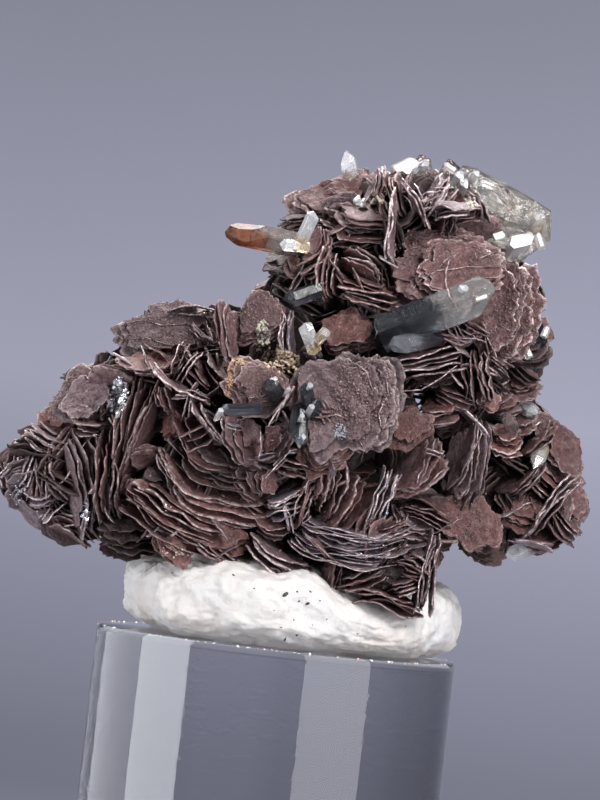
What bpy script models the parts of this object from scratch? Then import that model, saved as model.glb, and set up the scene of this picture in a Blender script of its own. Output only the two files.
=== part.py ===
# A specular hematite specimen with quartz, held by putty on a clear round rod.
# X runs to the right as the specimen is shown, Y away from the viewer and Z up.
# The origin is the centre of the rod's foot. Shapes are worked out in millimetres
# and each finished mesh is scaled to metres.

import math
import random
from collections import namedtuple

import bmesh
import bpy
from mathutils import Matrix, Vector

METRES_PER_MM = 0.001

# Driving dimensions, in millimetres
ROD_RADIUS = 12.5
ROD_HEIGHT = 25.0
ROD_EDGE = 0.3
ROD_SIDES = 48
PUTTY_RADIUS = 11.4
PUTTY_HEIGHT = 5.1
PUTTY_CENTRE_X = 0.6
PUTTY_ROUNDNESS = 0.45
PUTTY_FLATNESS = 0.7
PUTTY_FULLNESS = 1.15
DENT_CENTRE = (7.0, -10.5)
DENT_DEPTH = 2.4
DENT_WIDTH = 3.6
GAP = 0.25
SHEET_CORNERS = 6
SHEET_SHARE_OF_SPACING = 0.5
SHEET_SLIP = 0.06
SHEET_SIZES = (0.9, 1.04)
THINNEST_SHEET = 0.3
HEXAGON_SHARE = 0.45
OUTLINE_WAVE = 0.09
SMALL_BOOK = 2.15
LARGE_BOOK = 3.3
ROOT_ENDS_AT = 0.9
ROOT_STEP = 0.25
ROOT_STEPS = 20
SEED = 13
BACK_SEED = 13

# A book is a stack of parallel hematite sheets. It is placed as it looks from the front:
# x and z give its middle, and front the y of its nearest edge. lie is the angle of its sheets'
# edges above X, and lean how far their broad faces turn to the front, in degrees. half and deep
# are the half lengths of a sheet along its edge and across it, sheets and pitch the number of
# sheets and their spacing. fan is the turn from one sheet to the next, about the end that hinge names.
Book = namedtuple("Book", "x z front lie lean half deep sheets pitch fan hinge")
Book.__new__.__defaults__ = (0.0, 0.0)

# Lower left lobe, from its tip inwards
LEFT_LOBE = [
    Book(-17.2, 37.1, -3.5, -18, 10, 2.0, 1.6, 6, 0.30),
    Book(-19.2, 34.9, -1.6, 96, -25, 1.7, 1.5, 5, 0.45),
    Book(-18.4, 34.9, -2.6, 74, 15, 1.6, 1.4, 4, 0.35),
    Book(-16.8, 34.6, -3.4, -64, 15, 1.6, 1.3, 4, 0.35),
    Book(-17.2, 33.0, -3.0, 25, 25, 1.3, 1.4, 4, 0.45),
    Book(-17.6, 32.2, -1.8, -38, -20, 2.4, 2.2, 4, 0.35),
    Book(-14.8, 31.3, -3.0, -26, -10, 2.1, 2.2, 5, 0.30),
    Book(-14.4, 34.8, -5.0, -73, -22, 3.1, 2.2, 8, 0.33),
    Book(-12.8, 35.3, -6.0, -84, 8, 3.0, 2.4, 6, 0.28),
    Book(-11.1, 38.7, -7.2, 80, -18, 3.7, 2.6, 9, 0.32, 1.5, 1),
    Book(-11.0, 31.5, -6.0, 8, 25, 2.3, 2.2, 5, 0.45),
    Book(-17.2, 39.3, -0.6, 42, 62, 1.8, 1.6, 4, 0.30),
    Book(-15.2, 40.6, -1.6, 55, 66, 2.3, 1.9, 5, 0.30),
    Book(-12.7, 40.7, -4.2, 84, 48, 1.6, 1.0, 3, 0.30),
]

# Cap at the upper left, and the open books between it and the middle
LEFT_CAP = [
    Book(-10.4, 45.3, -5.6, 8, 48, 3.4, 2.6, 7, 0.32),
    Book(-10.9, 43.2, -6.8, 4, 22, 2.2, 1.8, 5, 0.22),
    Book(-8.6, 43.5, -8.0, 66, 0, 1.5, 1.2, 4, 0.25, 7.0, -1),
    Book(-6.6, 42.8, -7.6, -43, 18, 2.0, 1.8, 5, 0.50),
    Book(-8.5, 41.8, -8.8, -18, 0, 2.4, 1.3, 2, 0.20),
    Book(-6.3, 39.6, -8.9, -47, 0, 2.2, 1.3, 3, 0.20),
    Book(-8.6, 39.3, -6.6, 60, 58, 1.4, 1.0, 2, 0.30),
    Book(-5.6, 45.9, -8.4, -78, 34, 2.3, 1.0, 4, 0.25),
    Book(-3.5, 47.3, -8.4, 62, 64, 2.3, 1.8, 5, 0.28),
    Book(-1.7, 46.4, -8.6, -81, 5, 1.9, 1.2, 4, 0.25),
]

# Sweeping stacks along the lower front
LOWER_FRONT = [
    Book(-4.4, 36.4, -9.8, -8, 36, 5.0, 3.8, 10, 0.36),
    Book(-7.8, 32.9, -9.6, -24, 12, 4.0, 2.2, 8, 0.33),
    Book(-5.0, 32.1, -8.9, -12, 52, 2.7, 1.4, 3, 0.30),
    Book(-7.6, 30.9, -8.6, -30, 72, 1.6, 1.2, 3, 0.30),
    Book(-4.8, 31.0, -9.2, -33, 8, 1.9, 1.6, 4, 0.30),
    Book(-0.5, 30.9, -10.0, -24, 15, 2.4, 1.9, 6, 0.25),
    Book(-0.4, 34.9, -10.2, 27, 12, 1.8, 1.8, 5, 0.27),
    Book(0.7, 34.9, -10.3, 74, 5, 2.0, 1.4, 4, 0.30),
    Book(1.8, 36.5, -10.3, 86, 20, 1.6, 1.3, 4, 0.28),
    Book(-3.0, 35.8, -9.6, -60, 42, 1.4, 1.1, 3, 0.35),
    Book(0.0, 37.2, -9.9, -14, 5, 1.4, 1.2, 4, 0.25),
]

# Layered book and crossed sheets at the lowest point, right of the middle
LOWER_RIGHT = [
    Book(4.6, 32.5, -11.0, 2, 8, 4.1, 2.8, 9, 0.28),
    Book(3.2, 35.7, -10.2, 68, 18, 2.2, 1.6, 6, 0.30, 7.0, -1),
    Book(5.9, 35.8, -10.5, 70, 6, 2.4, 1.6, 5, 0.26),
    Book(8.2, 38.0, -10.2, 56, 34, 2.8, 1.8, 6, 0.26, -9.0, -1),
    Book(9.3, 35.4, -9.8, -14, 8, 1.9, 1.8, 5, 0.28),
    Book(8.6, 34.5, -9.3, -27, 32, 1.8, 1.5, 3, 0.35),
    Book(9.0, 31.9, -10.4, -27, 8, 1.3, 1.3, 4, 0.25),
    Book(9.8, 31.1, -10.4, 88, 5, 2.7, 1.5, 3, 0.25),
    Book(5.6, 30.4, -10.2, 35, 5, 2.1, 1.5, 4, 0.28),
    Book(8.5, 31.1, -10.0, -8, 5, 1.3, 1.4, 3, 0.33),
    Book(8.3, 30.1, -9.9, 22, 5, 1.3, 1.4, 4, 0.28),
    Book(6.9, 29.2, -10.3, -6, 8, 3.2, 2.0, 4, 0.26),
    Book(3.1, 30.2, -9.4, 80, 25, 1.3, 1.3, 4, 0.25),
]

# Right lobe
RIGHT_LOBE = [
    Book(12.2, 34.8, -5.6, -35, 78, 2.7, 2.4, 4, 0.32),
    Book(11.6, 39.2, -7.2, 83, 38, 2.9, 1.7, 6, 0.30),
    Book(14.1, 40.8, -4.8, 0, 42, 1.4, 1.4, 4, 0.38),
    Book(15.2, 39.1, -4.6, -26, 5, 1.4, 1.3, 3, 0.22),
    Book(16.3, 40.9, -4.4, 49, 10, 1.7, 1.4, 3, 0.25),
    Book(15.8, 38.1, -4.8, 55, 5, 1.5, 1.2, 3, 0.30),
    Book(17.6, 36.5, -5.0, 57, 3, 3.0, 1.6, 4, 0.24),
    Book(18.7, 35.3, -4.0, -38, 8, 1.5, 1.4, 4, 0.35),
    Book(18.0, 40.4, -3.0, -57, 58, 2.2, 1.8, 4, 0.32),
    Book(19.3, 36.9, -2.8, -82, 52, 1.9, 1.7, 4, 0.32),
    Book(15.7, 36.0, -4.6, -5, 55, 1.7, 1.5, 4, 0.30),
    Book(17.4, 34.2, -3.6, 4, 30, 1.4, 1.5, 4, 0.32),
    Book(13.2, 33.2, -4.2, -12, 60, 1.7, 1.3, 3, 0.30),
    Book(15.2, 42.0, -3.8, 16, 38, 1.4, 1.4, 3, 0.35),
]

# Upper lobe: crossed sheets on its left, broad sheets on its right
UPPER_LOBE = [
    Book(-0.6, 55.5, -3.0, -12, 56, 1.9, 1.5, 5, 0.28),
    Book(1.8, 56.9, -2.6, 18, 52, 2.0, 1.6, 5, 0.28),
    Book(2.6, 54.4, -5.8, -3, 24, 2.7, 2.2, 8, 0.30),
    Book(4.4, 54.5, -7.2, -86, 10, 2.8, 1.0, 2, 0.22),
    Book(4.7, 56.2, -5.6, -72, 8, 1.9, 1.5, 7, 0.34),
    Book(4.9, 58.0, -2.6, 4, 40, 2.0, 1.8, 4, 0.28),
    Book(6.2, 56.1, -5.4, -54, 4, 1.5, 1.2, 4, 0.24),
    Book(7.5, 57.1, -4.2, 62, 12, 1.4, 1.2, 4, 0.28),
    Book(8.8, 55.8, -5.0, 8, 10, 2.1, 1.6, 5, 0.24),
    Book(-0.2, 52.6, -6.0, 72, 38, 1.5, 1.1, 4, 0.26),
    Book(-2.7, 51.2, -3.6, 35, 40, 1.3, 1.2, 4, 0.30),
    Book(0.0, 51.2, -6.5, 40, 5, 1.3, 1.0, 4, 0.38),
    Book(0.6, 50.6, -7.0, -82, 10, 1.7, 1.2, 4, 0.27),
    Book(3.1, 51.5, -7.2, -33, -22, 2.0, 1.4, 4, 0.33),
    Book(3.5, 49.7, -8.0, -6, 8, 2.4, 2.0, 7, 0.27),
    Book(2.4, 47.0, -7.6, 22, 66, 2.2, 1.7, 5, 0.30),
    Book(8.9, 52.4, -7.8, 24, 60, 4.5, 3.1, 9, 0.28),
    Book(13.0, 49.7, -6.6, -50, 74, 3.5, 2.9, 6, 0.30),
    Book(11.6, 44.6, -7.6, -79, 5, 2.0, 1.7, 7, 0.29),
    Book(8.0, 45.4, -9.2, 20, 6, 2.9, 2.0, 5, 0.42, 2.0, 1),
    Book(14.7, 44.6, -4.2, 6, 40, 1.6, 1.5, 5, 0.36),
    Book(5.8, 43.4, -7.6, -60, 58, 1.3, 0.8, 2, 0.28),
    Book(9.3, 42.1, -6.8, 10, 28, 1.4, 1.4, 4, 0.32),
    Book(7.3, 41.0, -8.8, 35, 78, 1.7, 1.6, 3, 0.30),
]

# Rosette in the middle of the front, whose broad faces look forward
MIDDLE_ROSETTE = [
    Book(2.8, 42.0, -11.2, 78, 82, 4.0, 3.3, 7, 0.30),
    Book(-3.2, 42.6, -11.0, 0, 78, 2.3, 2.0, 5, 0.28),
    Book(-3.7, 38.8, -10.7, -55, 62, 2.0, 1.6, 5, 0.28),
    Book(-1.5, 39.0, -10.8, 74, 42, 1.6, 1.2, 4, 0.28),
    Book(1.8, 38.8, -10.9, 15, 72, 2.0, 1.7, 5, 0.28),
    Book(-1.4, 41.6, -11.6, 62, 8, 1.5, 0.9, 2, 0.22),
    Book(-1.3, 37.6, -11.0, 52, 5, 1.3, 1.0, 2, 0.24),
]

HAND_PLACED = LEFT_LOBE + LEFT_CAP + LOWER_FRONT + LOWER_RIGHT + RIGHT_LOBE + UPPER_LOBE + MIDDLE_ROSETTE

# The massive heart that the books grow from: middle point and half sizes of each lump
LUMPS = [
    ((-3.0, 0.0, 35.8), (13.2, 8.6, 5.6)),
    ((-15.4, 1.2, 35.2), (4.8, 4.6, 4.2)),
    ((-12.4, 0.4, 39.4), (4.6, 5.6, 4.6)),
    ((-8.4, 0.2, 43.2), (5.0, 6.4, 3.9)),
    ((0.8, 0.0, 41.8), (8.6, 10.0, 6.6)),
    ((4.8, 0.2, 48.2), (8.6, 7.6, 5.6)),
    ((4.6, 0.6, 53.0), (7.8, 6.6, 5.2)),
    ((11.4, 0.6, 45.6), (5.0, 6.8, 7.0)),
    ((14.6, 1.6, 37.6), (5.2, 5.6, 4.5)),
    ((6.2, -2.0, 33.4), (4.8, 7.8, 3.8)),
    ((6.8, -7.0, 31.0), (3.2, 3.0, 2.6)),
]
LUMP_POINTS = 20

# Outline of the whole specimen as it looks from the front, which the unseen books stay inside
OUTLINE = [
    (-20.4, 33.4), (-20.6, 35.8), (-19.4, 37.5), (-17.5, 40.2), (-15.5, 41.7), (-13.7, 43.2), (-13.8, 44.5),
    (-12.0, 46.7), (-10.0, 47.5), (-7.0, 47.5), (-5.3, 48.6), (-3.1, 49.6), (-4.3, 51.0), (-2.4, 55.2),
    (-1.8, 56.2), (-0.2, 56.6), (0.4, 57.4), (3.3, 58.6), (8.0, 59.0), (11.0, 58.6), (14.0, 57.0),
    (15.6, 54.5), (15.4, 51.6), (16.5, 49.2), (16.9, 47.5), (16.2, 45.8), (16.2, 43.2), (17.0, 42.6),
    (19.0, 40.0), (20.3, 38.0), (20.8, 36.2), (19.9, 34.3), (18.4, 33.1), (15.2, 32.8), (13.5, 31.9),
    (11.2, 32.6), (10.2, 31.8), (10.2, 29.8), (0.0, 30.2), (-16.0, 30.0), (-18.0, 31.3), (-19.5, 32.2),
]

# The unseen sides and back are covered by books that follow a rule, this many points tried on each lump
BACK_TRIES = [12, 8, 7, 7, 4, 8, 11, 8, 8, 2, 0]
BACK_STARTS_AT_Y = -0.2
BACK_HALF = (1.9, 2.9)
BACK_DEEP_TO_HALF = 0.85
BACK_LEAN = 60
BACK_SHEETS = 6
BACK_PITCH = (0.28, 0.36)
BACK_SHIFTS = 12
BACK_SHIFT = 0.05


# Directions of a sheet: along its seen edge, across it, and its normal
def sheet_axes(lie, lean):
    lie = math.radians(lie)
    lean = math.radians(lean)
    along = Vector((math.cos(lie), 0.0, math.sin(lie)))
    upright = Vector((-math.sin(lie), 0.0, math.cos(lie)))
    normal = upright * math.cos(lean) + Vector((0.0, -1.0, 0.0)) * math.sin(lean)
    return along, normal.cross(along), normal


# Middle of a book, from the y of its nearest edge
def book_middle(book):
    along, across, normal = sheet_axes(book.lie, book.lean)
    thick = book.pitch * (book.sheets - 1) / 2
    reach = book.deep * abs(across.y) + thick * abs(normal.y)
    return Vector((book.x, book.front + reach, book.z))


# Distance from the middle of a worn six-sided sheet to its edge, for a half size of 1
def outline_reach(turn, wobble):
    flat = math.pi / 3
    hexagon = math.cos(flat / 2) / math.cos((turn % flat) - flat / 2)
    waves = sum(size * math.cos(n * turn + start) for n, size, start in wobble)
    return HEXAGON_SHARE * hexagon + 1 - HEXAGON_SHARE + waves


def random_wobble(dice):
    return [(n, dice.uniform(0.2, 1.0) * OUTLINE_WAVE / n, dice.uniform(0, math.tau)) for n in (2, 3, 5)]


# Adds one flat sheet to the mesh as a closed prism
def add_sheet(shape, middle, along, across, normal, half, deep, thick, dice):
    wobble = random_wobble(dice)
    start = dice.uniform(0, math.tau)
    low = []
    high = []
    for k in range(SHEET_CORNERS):
        turn = start + math.tau * k / SHEET_CORNERS
        reach = outline_reach(turn, wobble)
        edge = middle + along * (half * reach * math.cos(turn)) + across * (deep * reach * math.sin(turn))
        low.append(shape.verts.new(edge - normal * thick / 2))
        high.append(shape.verts.new(edge + normal * thick / 2))
    shape.faces.new(high)
    shape.faces.new(low[::-1])
    for k in range(SHEET_CORNERS):
        after = (k + 1) % SHEET_CORNERS
        shape.faces.new((low[k], low[after], high[after], high[k]))


# Fewer and thicker sheets stand for the real ones: one for a small book, up to three for a large one
def sheets_in_solid(book):
    if book.half < SMALL_BOOK or book.sheets < 3:
        return 1
    return 2 if book.half < LARGE_BOOK else 3


# The sheets of an edge-on book, and the rearmost sheet of any other, reach inwards until they meet a lump
def add_book(shape, middle, book, dice):
    count = sheets_in_solid(book)
    spacing = book.pitch * book.sheets / count
    along, across, normal = sheet_axes(book.lie, book.lean)
    edge_on = abs(across.y) > abs(normal.y)
    inwards = across if edge_on else normal * math.copysign(1, normal.y)
    rearmost = count - 1 if normal.y > 0 else 0
    rooted = way_to_lumps(middle, inwards)
    pivot = middle + along * (book.hinge * book.half)
    for k in range(count):
        place = k - (count - 1) / 2
        turned = sheet_axes(book.lie + book.fan * place * book.sheets / count, book.lean)
        centre = pivot - turned[0] * (book.hinge * book.half) + normal * (place * spacing)
        centre += turned[0] * dice.uniform(-SHEET_SLIP, SHEET_SLIP) * book.half
        thick = max(THINNEST_SHEET, spacing * SHEET_SHARE_OF_SPACING)
        size = dice.uniform(*SHEET_SIZES)
        deep = book.deep * size
        if edge_on:
            deep += rooted / 2
            centre += inwards * (rooted / 2)
        elif k == rearmost:
            thick += rooted
            centre += inwards * (rooted / 2)
        add_sheet(shape, centre, *turned, book.half * size, deep, thick, dice)


# Points spread evenly over a sphere of radius 1
def sphere_points(count):
    golden = math.pi * (3 - math.sqrt(5))
    for k in range(count):
        height = 1 - 2 * (k + 0.5) / count
        ring = math.sqrt(1 - height * height)
        yield Vector((ring * math.cos(golden * k), ring * math.sin(golden * k), height))


# How far a point is from a lump's middle, where 1 is on the lump's surface
def depth_in_lump(point, lump):
    middle, sizes = lump
    return math.sqrt(sum(((point[i] - middle[i]) / sizes[i]) ** 2 for i in range(3)))


def inside_outline(x, z):
    inside = False
    for (ax, az), (bx, bz) in zip(OUTLINE, OUTLINE[1:] + OUTLINE[:1]):
        if (az > z) != (bz > z) and x < ax + (bx - ax) * (z - az) / (bz - az):
            inside = not inside
    return inside


def book_fits_outline(middle, book):
    along, across, _ = sheet_axes(book.lie, book.lean)
    arms = (along * book.half, along * -book.half, across * book.deep, across * -book.deep)
    return all(inside_outline((middle + arm).x, (middle + arm).z) for arm in arms)


# Books for the sides and the back, each standing out of a lump where no other lump covers it
def back_books(dice):
    for index, lump in enumerate(LUMPS):
        middle, sizes = lump
        for way in sphere_points(BACK_TRIES[index]):
            half = dice.uniform(*BACK_HALF)
            lie = dice.uniform(-90, 90)
            lean = dice.uniform(-BACK_LEAN, BACK_LEAN)
            pitch = dice.uniform(*BACK_PITCH)
            if way.y < BACK_STARTS_AT_Y:
                continue
            spot = Vector([middle[i] + way[i] * sizes[i] for i in range(3)])
            if any(depth_in_lump(spot, other) < ROOT_ENDS_AT for other in LUMPS if other is not lump):
                continue
            deep = half * BACK_DEEP_TO_HALF
            book = Book(spot.x, spot.z, spot.y, lie, lean, half, deep, BACK_SHEETS, pitch)
            shift = Vector((middle[0] - spot.x, 0.0, middle[2] - spot.z)) * BACK_SHIFT
            spots = [spot + shift * k for k in range(BACK_SHIFTS)]
            fitting = [tried for tried in spots if book_fits_outline(tried, book)]
            if fitting:
                yield fitting[0], book


# How far a book has to reach inwards, past its middle, to end in a lump
def way_to_lumps(middle, inwards):
    for step in range(ROOT_STEPS):
        reach = step * ROOT_STEP
        spot = middle + inwards * reach
        if min(depth_in_lump(spot, lump) for lump in LUMPS) < ROOT_ENDS_AT:
            return reach
    return 0.0


def add_lump(shape, middle, sizes):
    place = Matrix.Translation(middle) @ Matrix.Diagonal((*sizes, 1.0))
    points = [shape.verts.new(place @ way) for way in sphere_points(LUMP_POINTS)]
    bmesh.ops.convex_hull(shape, input=points)


# Materials, objects and Booleans

def new_material(name, colour, roughness, metallic=0.0, clear=0.0, ior=1.5):
    material = bpy.data.materials.new(name)
    material.use_nodes = True
    shader = material.node_tree.nodes["Principled BSDF"]
    shader.inputs["Base Color"].default_value = (*colour, 1.0)
    shader.inputs["Roughness"].default_value = roughness
    shader.inputs["Metallic"].default_value = metallic
    shader.inputs["Transmission Weight"].default_value = clear
    shader.inputs["IOR"].default_value = ior
    return material


def new_object(name, shape, material=None):
    bmesh.ops.recalc_face_normals(shape, faces=shape.faces)
    mesh = bpy.data.meshes.new(name)
    shape.to_mesh(mesh)
    shape.free()
    if material:
        mesh.materials.append(material)
    made = bpy.data.objects.new(name, mesh)
    bpy.context.scene.collection.objects.link(made)
    return made


def drop(thing):
    bpy.data.objects.remove(thing)


# Applies one Boolean, and gives the object its result
def combine(target, other, operation, fuse_itself=False):
    step = target.modifiers.new(operation.lower(), "BOOLEAN")
    step.object = other
    step.operation = operation
    step.solver = "EXACT"
    step.use_self = fuse_itself
    bpy.context.view_layer.update()
    graph = bpy.context.evaluated_depsgraph_get()
    result = bpy.data.meshes.new_from_object(target.evaluated_get(graph))
    target.modifiers.clear()
    target.data = result


# Keeps the largest connected part, because a cut can leave splinters
def keep_largest_part(target):
    shape = bmesh.new()
    shape.from_mesh(target.data)
    waiting = set(shape.verts)
    parts = []
    while waiting:
        part = {waiting.pop()}
        border = list(part)
        while border:
            vert = border.pop()
            for edge in vert.link_edges:
                other = edge.other_vert(vert)
                if other in waiting:
                    waiting.discard(other)
                    part.add(other)
                    border.append(other)
        parts.append(part)
    parts.sort(key=len)
    for part in parts[:-1]:
        bmesh.ops.delete(shape, geom=list(part), context="VERTS")
    shape.to_mesh(target.data)
    shape.free()


def to_metres(target):
    target.data.transform(Matrix.Scale(METRES_PER_MM, 4))
    target.data.update()


# Holder

def make_rod(material):
    shape = bmesh.new()
    place = Matrix.Translation((0, 0, ROD_HEIGHT / 2))
    radii = {"radius1": ROD_RADIUS, "radius2": ROD_RADIUS}
    bmesh.ops.create_cone(shape, cap_ends=True, segments=ROD_SIDES, depth=ROD_HEIGHT, matrix=place, **radii)
    rim = [edge for edge in shape.edges if abs(edge.verts[0].co.z - edge.verts[1].co.z) < 1e-6]
    bmesh.ops.bevel(shape, geom=rim, offset=ROD_EDGE, segments=1, affect="EDGES")
    rod = new_object("display_rod", shape, material)
    rod.data.shade_smooth()
    rod.data.set_sharp_from_angle(angle=math.radians(30))
    to_metres(rod)


# A pressed, lumpy cushion with a flat foot. Swelling it by the gap makes the cutter for what it holds.
def putty_shape(swell=0.0):
    shape = bmesh.new()
    bmesh.ops.create_uvsphere(shape, u_segments=24, v_segments=10, radius=1.0)
    foot = ROD_HEIGHT + GAP - swell
    top = foot + PUTTY_HEIGHT + 2 * swell
    middle = (foot + top) / 2
    for vert in shape.verts:
        turn = math.atan2(vert.co.y, vert.co.x)
        ring = min(1.0, math.hypot(vert.co.x, vert.co.y)) ** PUTTY_ROUNDNESS
        lumps = 1 + 0.022 * math.sin(3 * turn + 0.8) + 0.014 * math.sin(7 * turn)
        reach = (PUTTY_RADIUS * lumps + swell) * ring
        rise = math.copysign(abs(vert.co.z) ** PUTTY_FLATNESS, vert.co.z) * PUTTY_FULLNESS * (top - foot) / 2
        x = PUTTY_CENTRE_X + reach * math.cos(turn)
        y = reach * math.sin(turn)
        height = max(foot, middle + rise)
        away = math.hypot(x - DENT_CENTRE[0], y - DENT_CENTRE[1]) / DENT_WIDTH
        pressed = (height - foot) / (top - foot) * DENT_DEPTH * math.exp(-away * away)
        vert.co = (x, y, height - pressed)
    bmesh.ops.triangulate(shape, faces=shape.faces)
    return shape


# Quartz: six-sided prisms from a root to a tip. point is the length of the pointed end,
# and spin turns the prism's faces about its axis, in degrees.
Crystal = namedtuple("Crystal", "root tip radius point spin")

QUARTZ = {
    "quartz_top_cluster": [
        Crystal((8.6, 1.2, 58.0), (16.1, 0.2, 54.9), 1.95, 1.5, 12),
        Crystal((10.4, 0.6, 54.9), (14.5, -1.8, 54.7), 0.85, 0.6, 25),
        Crystal((14.9, -0.4, 54.8), (13.0, -1.2, 53.0), 0.6, 0.5, 5),
        Crystal((8.4, 0.6, 57.6), (4.6, 0.2, 59.1), 0.65, 0.7, 20),
        Crystal((7.0, 1.2, 57.0), (6.0, 0.8, 60.0), 0.85, 0.8, 0),
        Crystal((8.6, 1.6, 57.0), (8.2, 0.8, 59.9), 0.9, 0.9, 30),
        Crystal((10.0, 1.2, 57.0), (10.3, 0.4, 59.4), 1.1, 0.9, 15),
        Crystal((9.6, 0.0, 57.6), (9.0, -2.0, 58.1), 0.6, 0.5, 40),
        Crystal((9.6, 2.4, 57.4), (12.6, 4.2, 58.0), 1.3, 1.2, 35),
    ],
    "quartz_smoky_pair": [
        Crystal((4.7, -7.6, 47.0), (12.7, -9.6, 51.2), 1.48, 1.7, 8),
        Crystal((8.3, -7.4, 47.2), (5.6, -11.2, 46.2), 0.95, 0.7, 0),
    ],
    "quartz_stained": [Crystal((-1.4, -3.9, 52.4), (-6.8, -5.0, 52.8), 1.02, 0.9, 14)],
    "quartz_left_pair": [
        Crystal((-1.6, -6.0, 52.2), (-0.7, -6.7, 54.8), 0.46, 0.3, 0),
        Crystal((-0.9, -5.9, 52.3), (-2.9, -6.7, 52.3), 0.45, 0.35, 20),
    ],
    "quartz_top_small": [Crystal((1.8, -1.0, 57.0), (0.8, -1.6, 59.4), 0.6, 0.9, 0)],
    "quartz_smoky_right": [Crystal((14.7, -0.8, 45.6), (15.8, -2.0, 49.5), 1.1, 1.4, 10)],
    "quartz_right_small": [Crystal((14.4, -1.6, 43.7), (16.1, -3.4, 42.7), 0.55, 0.5, 0)],
    "quartz_right_inner": [Crystal((14.6, -3.2, 41.4), (13.9, -5.4, 42.5), 0.5, 0.5, 25)],
    "quartz_right_glint": [Crystal((16.7, -3.2, 40.5), (16.2, -5.0, 38.8), 0.5, 0.5, 0)],
    "quartz_low_right": [Crystal((17.2, -1.5, 34.0), (15.0, -3.2, 32.7), 0.68, 0.8, 15)],
    "quartz_notch_dark": [Crystal((0.1, -6.2, 49.5), (-2.1, -7.6, 48.4), 0.66, 0.5, 0)],
    "quartz_middle_pair": [
        Crystal((0.3, -8.2, 45.4), (-0.6, -9.8, 47.1), 0.6, 0.5, 10),
        Crystal((0.3, -8.6, 45.8), (1.1, -9.8, 46.9), 0.42, 0.35, 30),
    ],
    "quartz_rosette_upright": [
        Crystal((-0.1, -10.6, 41.5), (-0.2, -12.1, 38.7), 0.74, 0.4, 0),
        Crystal((0.7, -10.6, 41.2), (-0.1, -12.1, 43.3), 0.68, 0.6, 22),
    ],
    "quartz_rosette_black": [Crystal((-1.5, -10.2, 41.7), (-2.6, -12.0, 43.0), 0.66, 0.5, 12)],
    "quartz_rosette_left": [Crystal((-2.9, -10.8, 41.0), (-5.5, -12.0, 40.6), 0.52, 0.35, 8)],
}
QUARTZ_COLOURS = {
    "quartz_stained": (0.55, 0.22, 0.07),
    "quartz_smoky_pair": (0.22, 0.23, 0.26),
    "quartz_smoky_right": (0.1, 0.09, 0.08),
    "quartz_notch_dark": (0.14, 0.15, 0.16),
    "quartz_rosette_black": (0.08, 0.08, 0.1),
    "quartz_rosette_left": (0.18, 0.19, 0.22),
}
CLEAR_QUARTZ = (0.85, 0.84, 0.8)
UNEVEN_SHOULDER = 0.25
TIP_OFFSET = 0.1


# One prism from its root to its tip. Swelling it by the gap makes the cutter for its pocket.
def crystal_shape(crystal, swell=0.0):
    root = Vector(crystal.root)
    axis = (Vector(crystal.tip) - root).normalized()
    length = (Vector(crystal.tip) - root).length
    side = Vector((0, 0, 1)).cross(axis).normalized()
    up = axis.cross(side)
    radius = crystal.radius + swell
    shape = bmesh.new()
    rings = []
    for reach in (-swell, length - crystal.point):
        ring = []
        for k in range(6):
            turn = math.radians(crystal.spin) + math.tau * k / 6
            out = side * math.cos(turn) + up * math.sin(turn)
            uneven = crystal.point * UNEVEN_SHOULDER if k % 2 and reach > 0 else 0.0
            ring.append(shape.verts.new(root + axis * (reach + uneven) + out * radius))
        rings.append(ring)
    point = shape.verts.new(root + axis * (length + swell) + up * radius * TIP_OFFSET)
    shape.faces.new(rings[0][::-1])
    for k in range(6):
        after = (k + 1) % 6
        shape.faces.new((rings[0][k], rings[0][after], rings[1][after], rings[1][k]))
        shape.faces.new((rings[1][k], rings[1][after], point))
    return shape


def make_quartz(name, crystals):
    colour = QUARTZ_COLOURS.get(name, CLEAR_QUARTZ)
    material = new_material(name, colour, 0.08, clear=0.9, ior=1.544)
    whole = new_object(name, crystal_shape(crystals[0]), material)
    for crystal in crystals[1:]:
        grown = new_object("grown", crystal_shape(crystal))
        combine(whole, grown, "UNION")
        drop(grown)
    return whole


# Hematite: lumps and sheets fused in one solid, with a seat for the putty and a pocket for each crystal
def make_hematite(material):
    dice = random.Random(SEED)
    shape = bmesh.new()
    for middle, sizes in LUMPS[1:]:
        add_lump(shape, middle, sizes)
    for book in HAND_PLACED:
        add_book(shape, book_middle(book), book, dice)
    for spot, book in back_books(random.Random(BACK_SEED)):
        add_book(shape, spot, book, dice)
    cluster = new_object("hematite_cluster", shape, material)
    shape = bmesh.new()
    add_lump(shape, *LUMPS[0])
    heart = new_object("heart", shape)
    combine(cluster, heart, "UNION", fuse_itself=True)
    drop(heart)
    seat = new_object("seat", putty_shape(GAP))
    combine(cluster, seat, "DIFFERENCE")
    drop(seat)
    for crystals in QUARTZ.values():
        for crystal in crystals:
            pocket = new_object("pocket", crystal_shape(crystal, GAP))
            combine(cluster, pocket, "DIFFERENCE")
            drop(pocket)
    keep_largest_part(cluster)
    return cluster


def make_specimen():
    for thing in list(bpy.data.objects):
        bpy.data.objects.remove(thing)
    acrylic = new_material("acrylic", (0.95, 0.97, 1.0), 0.02, clear=1.0, ior=1.49)
    putty = new_material("putty", (0.86, 0.83, 0.8), 0.6)
    hematite = new_material("hematite", (0.13, 0.075, 0.07), 0.45, metallic=0.4)
    make_rod(acrylic)
    to_metres(new_object("putty_pad", putty_shape(), putty))
    to_metres(make_hematite(hematite))
    for name, crystals in QUARTZ.items():
        to_metres(make_quartz(name, crystals))


make_specimen()
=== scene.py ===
import math
import random
from collections import namedtuple

import bmesh
import bpy
import numpy as np
from mathutils import Matrix, Vector, noise


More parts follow.
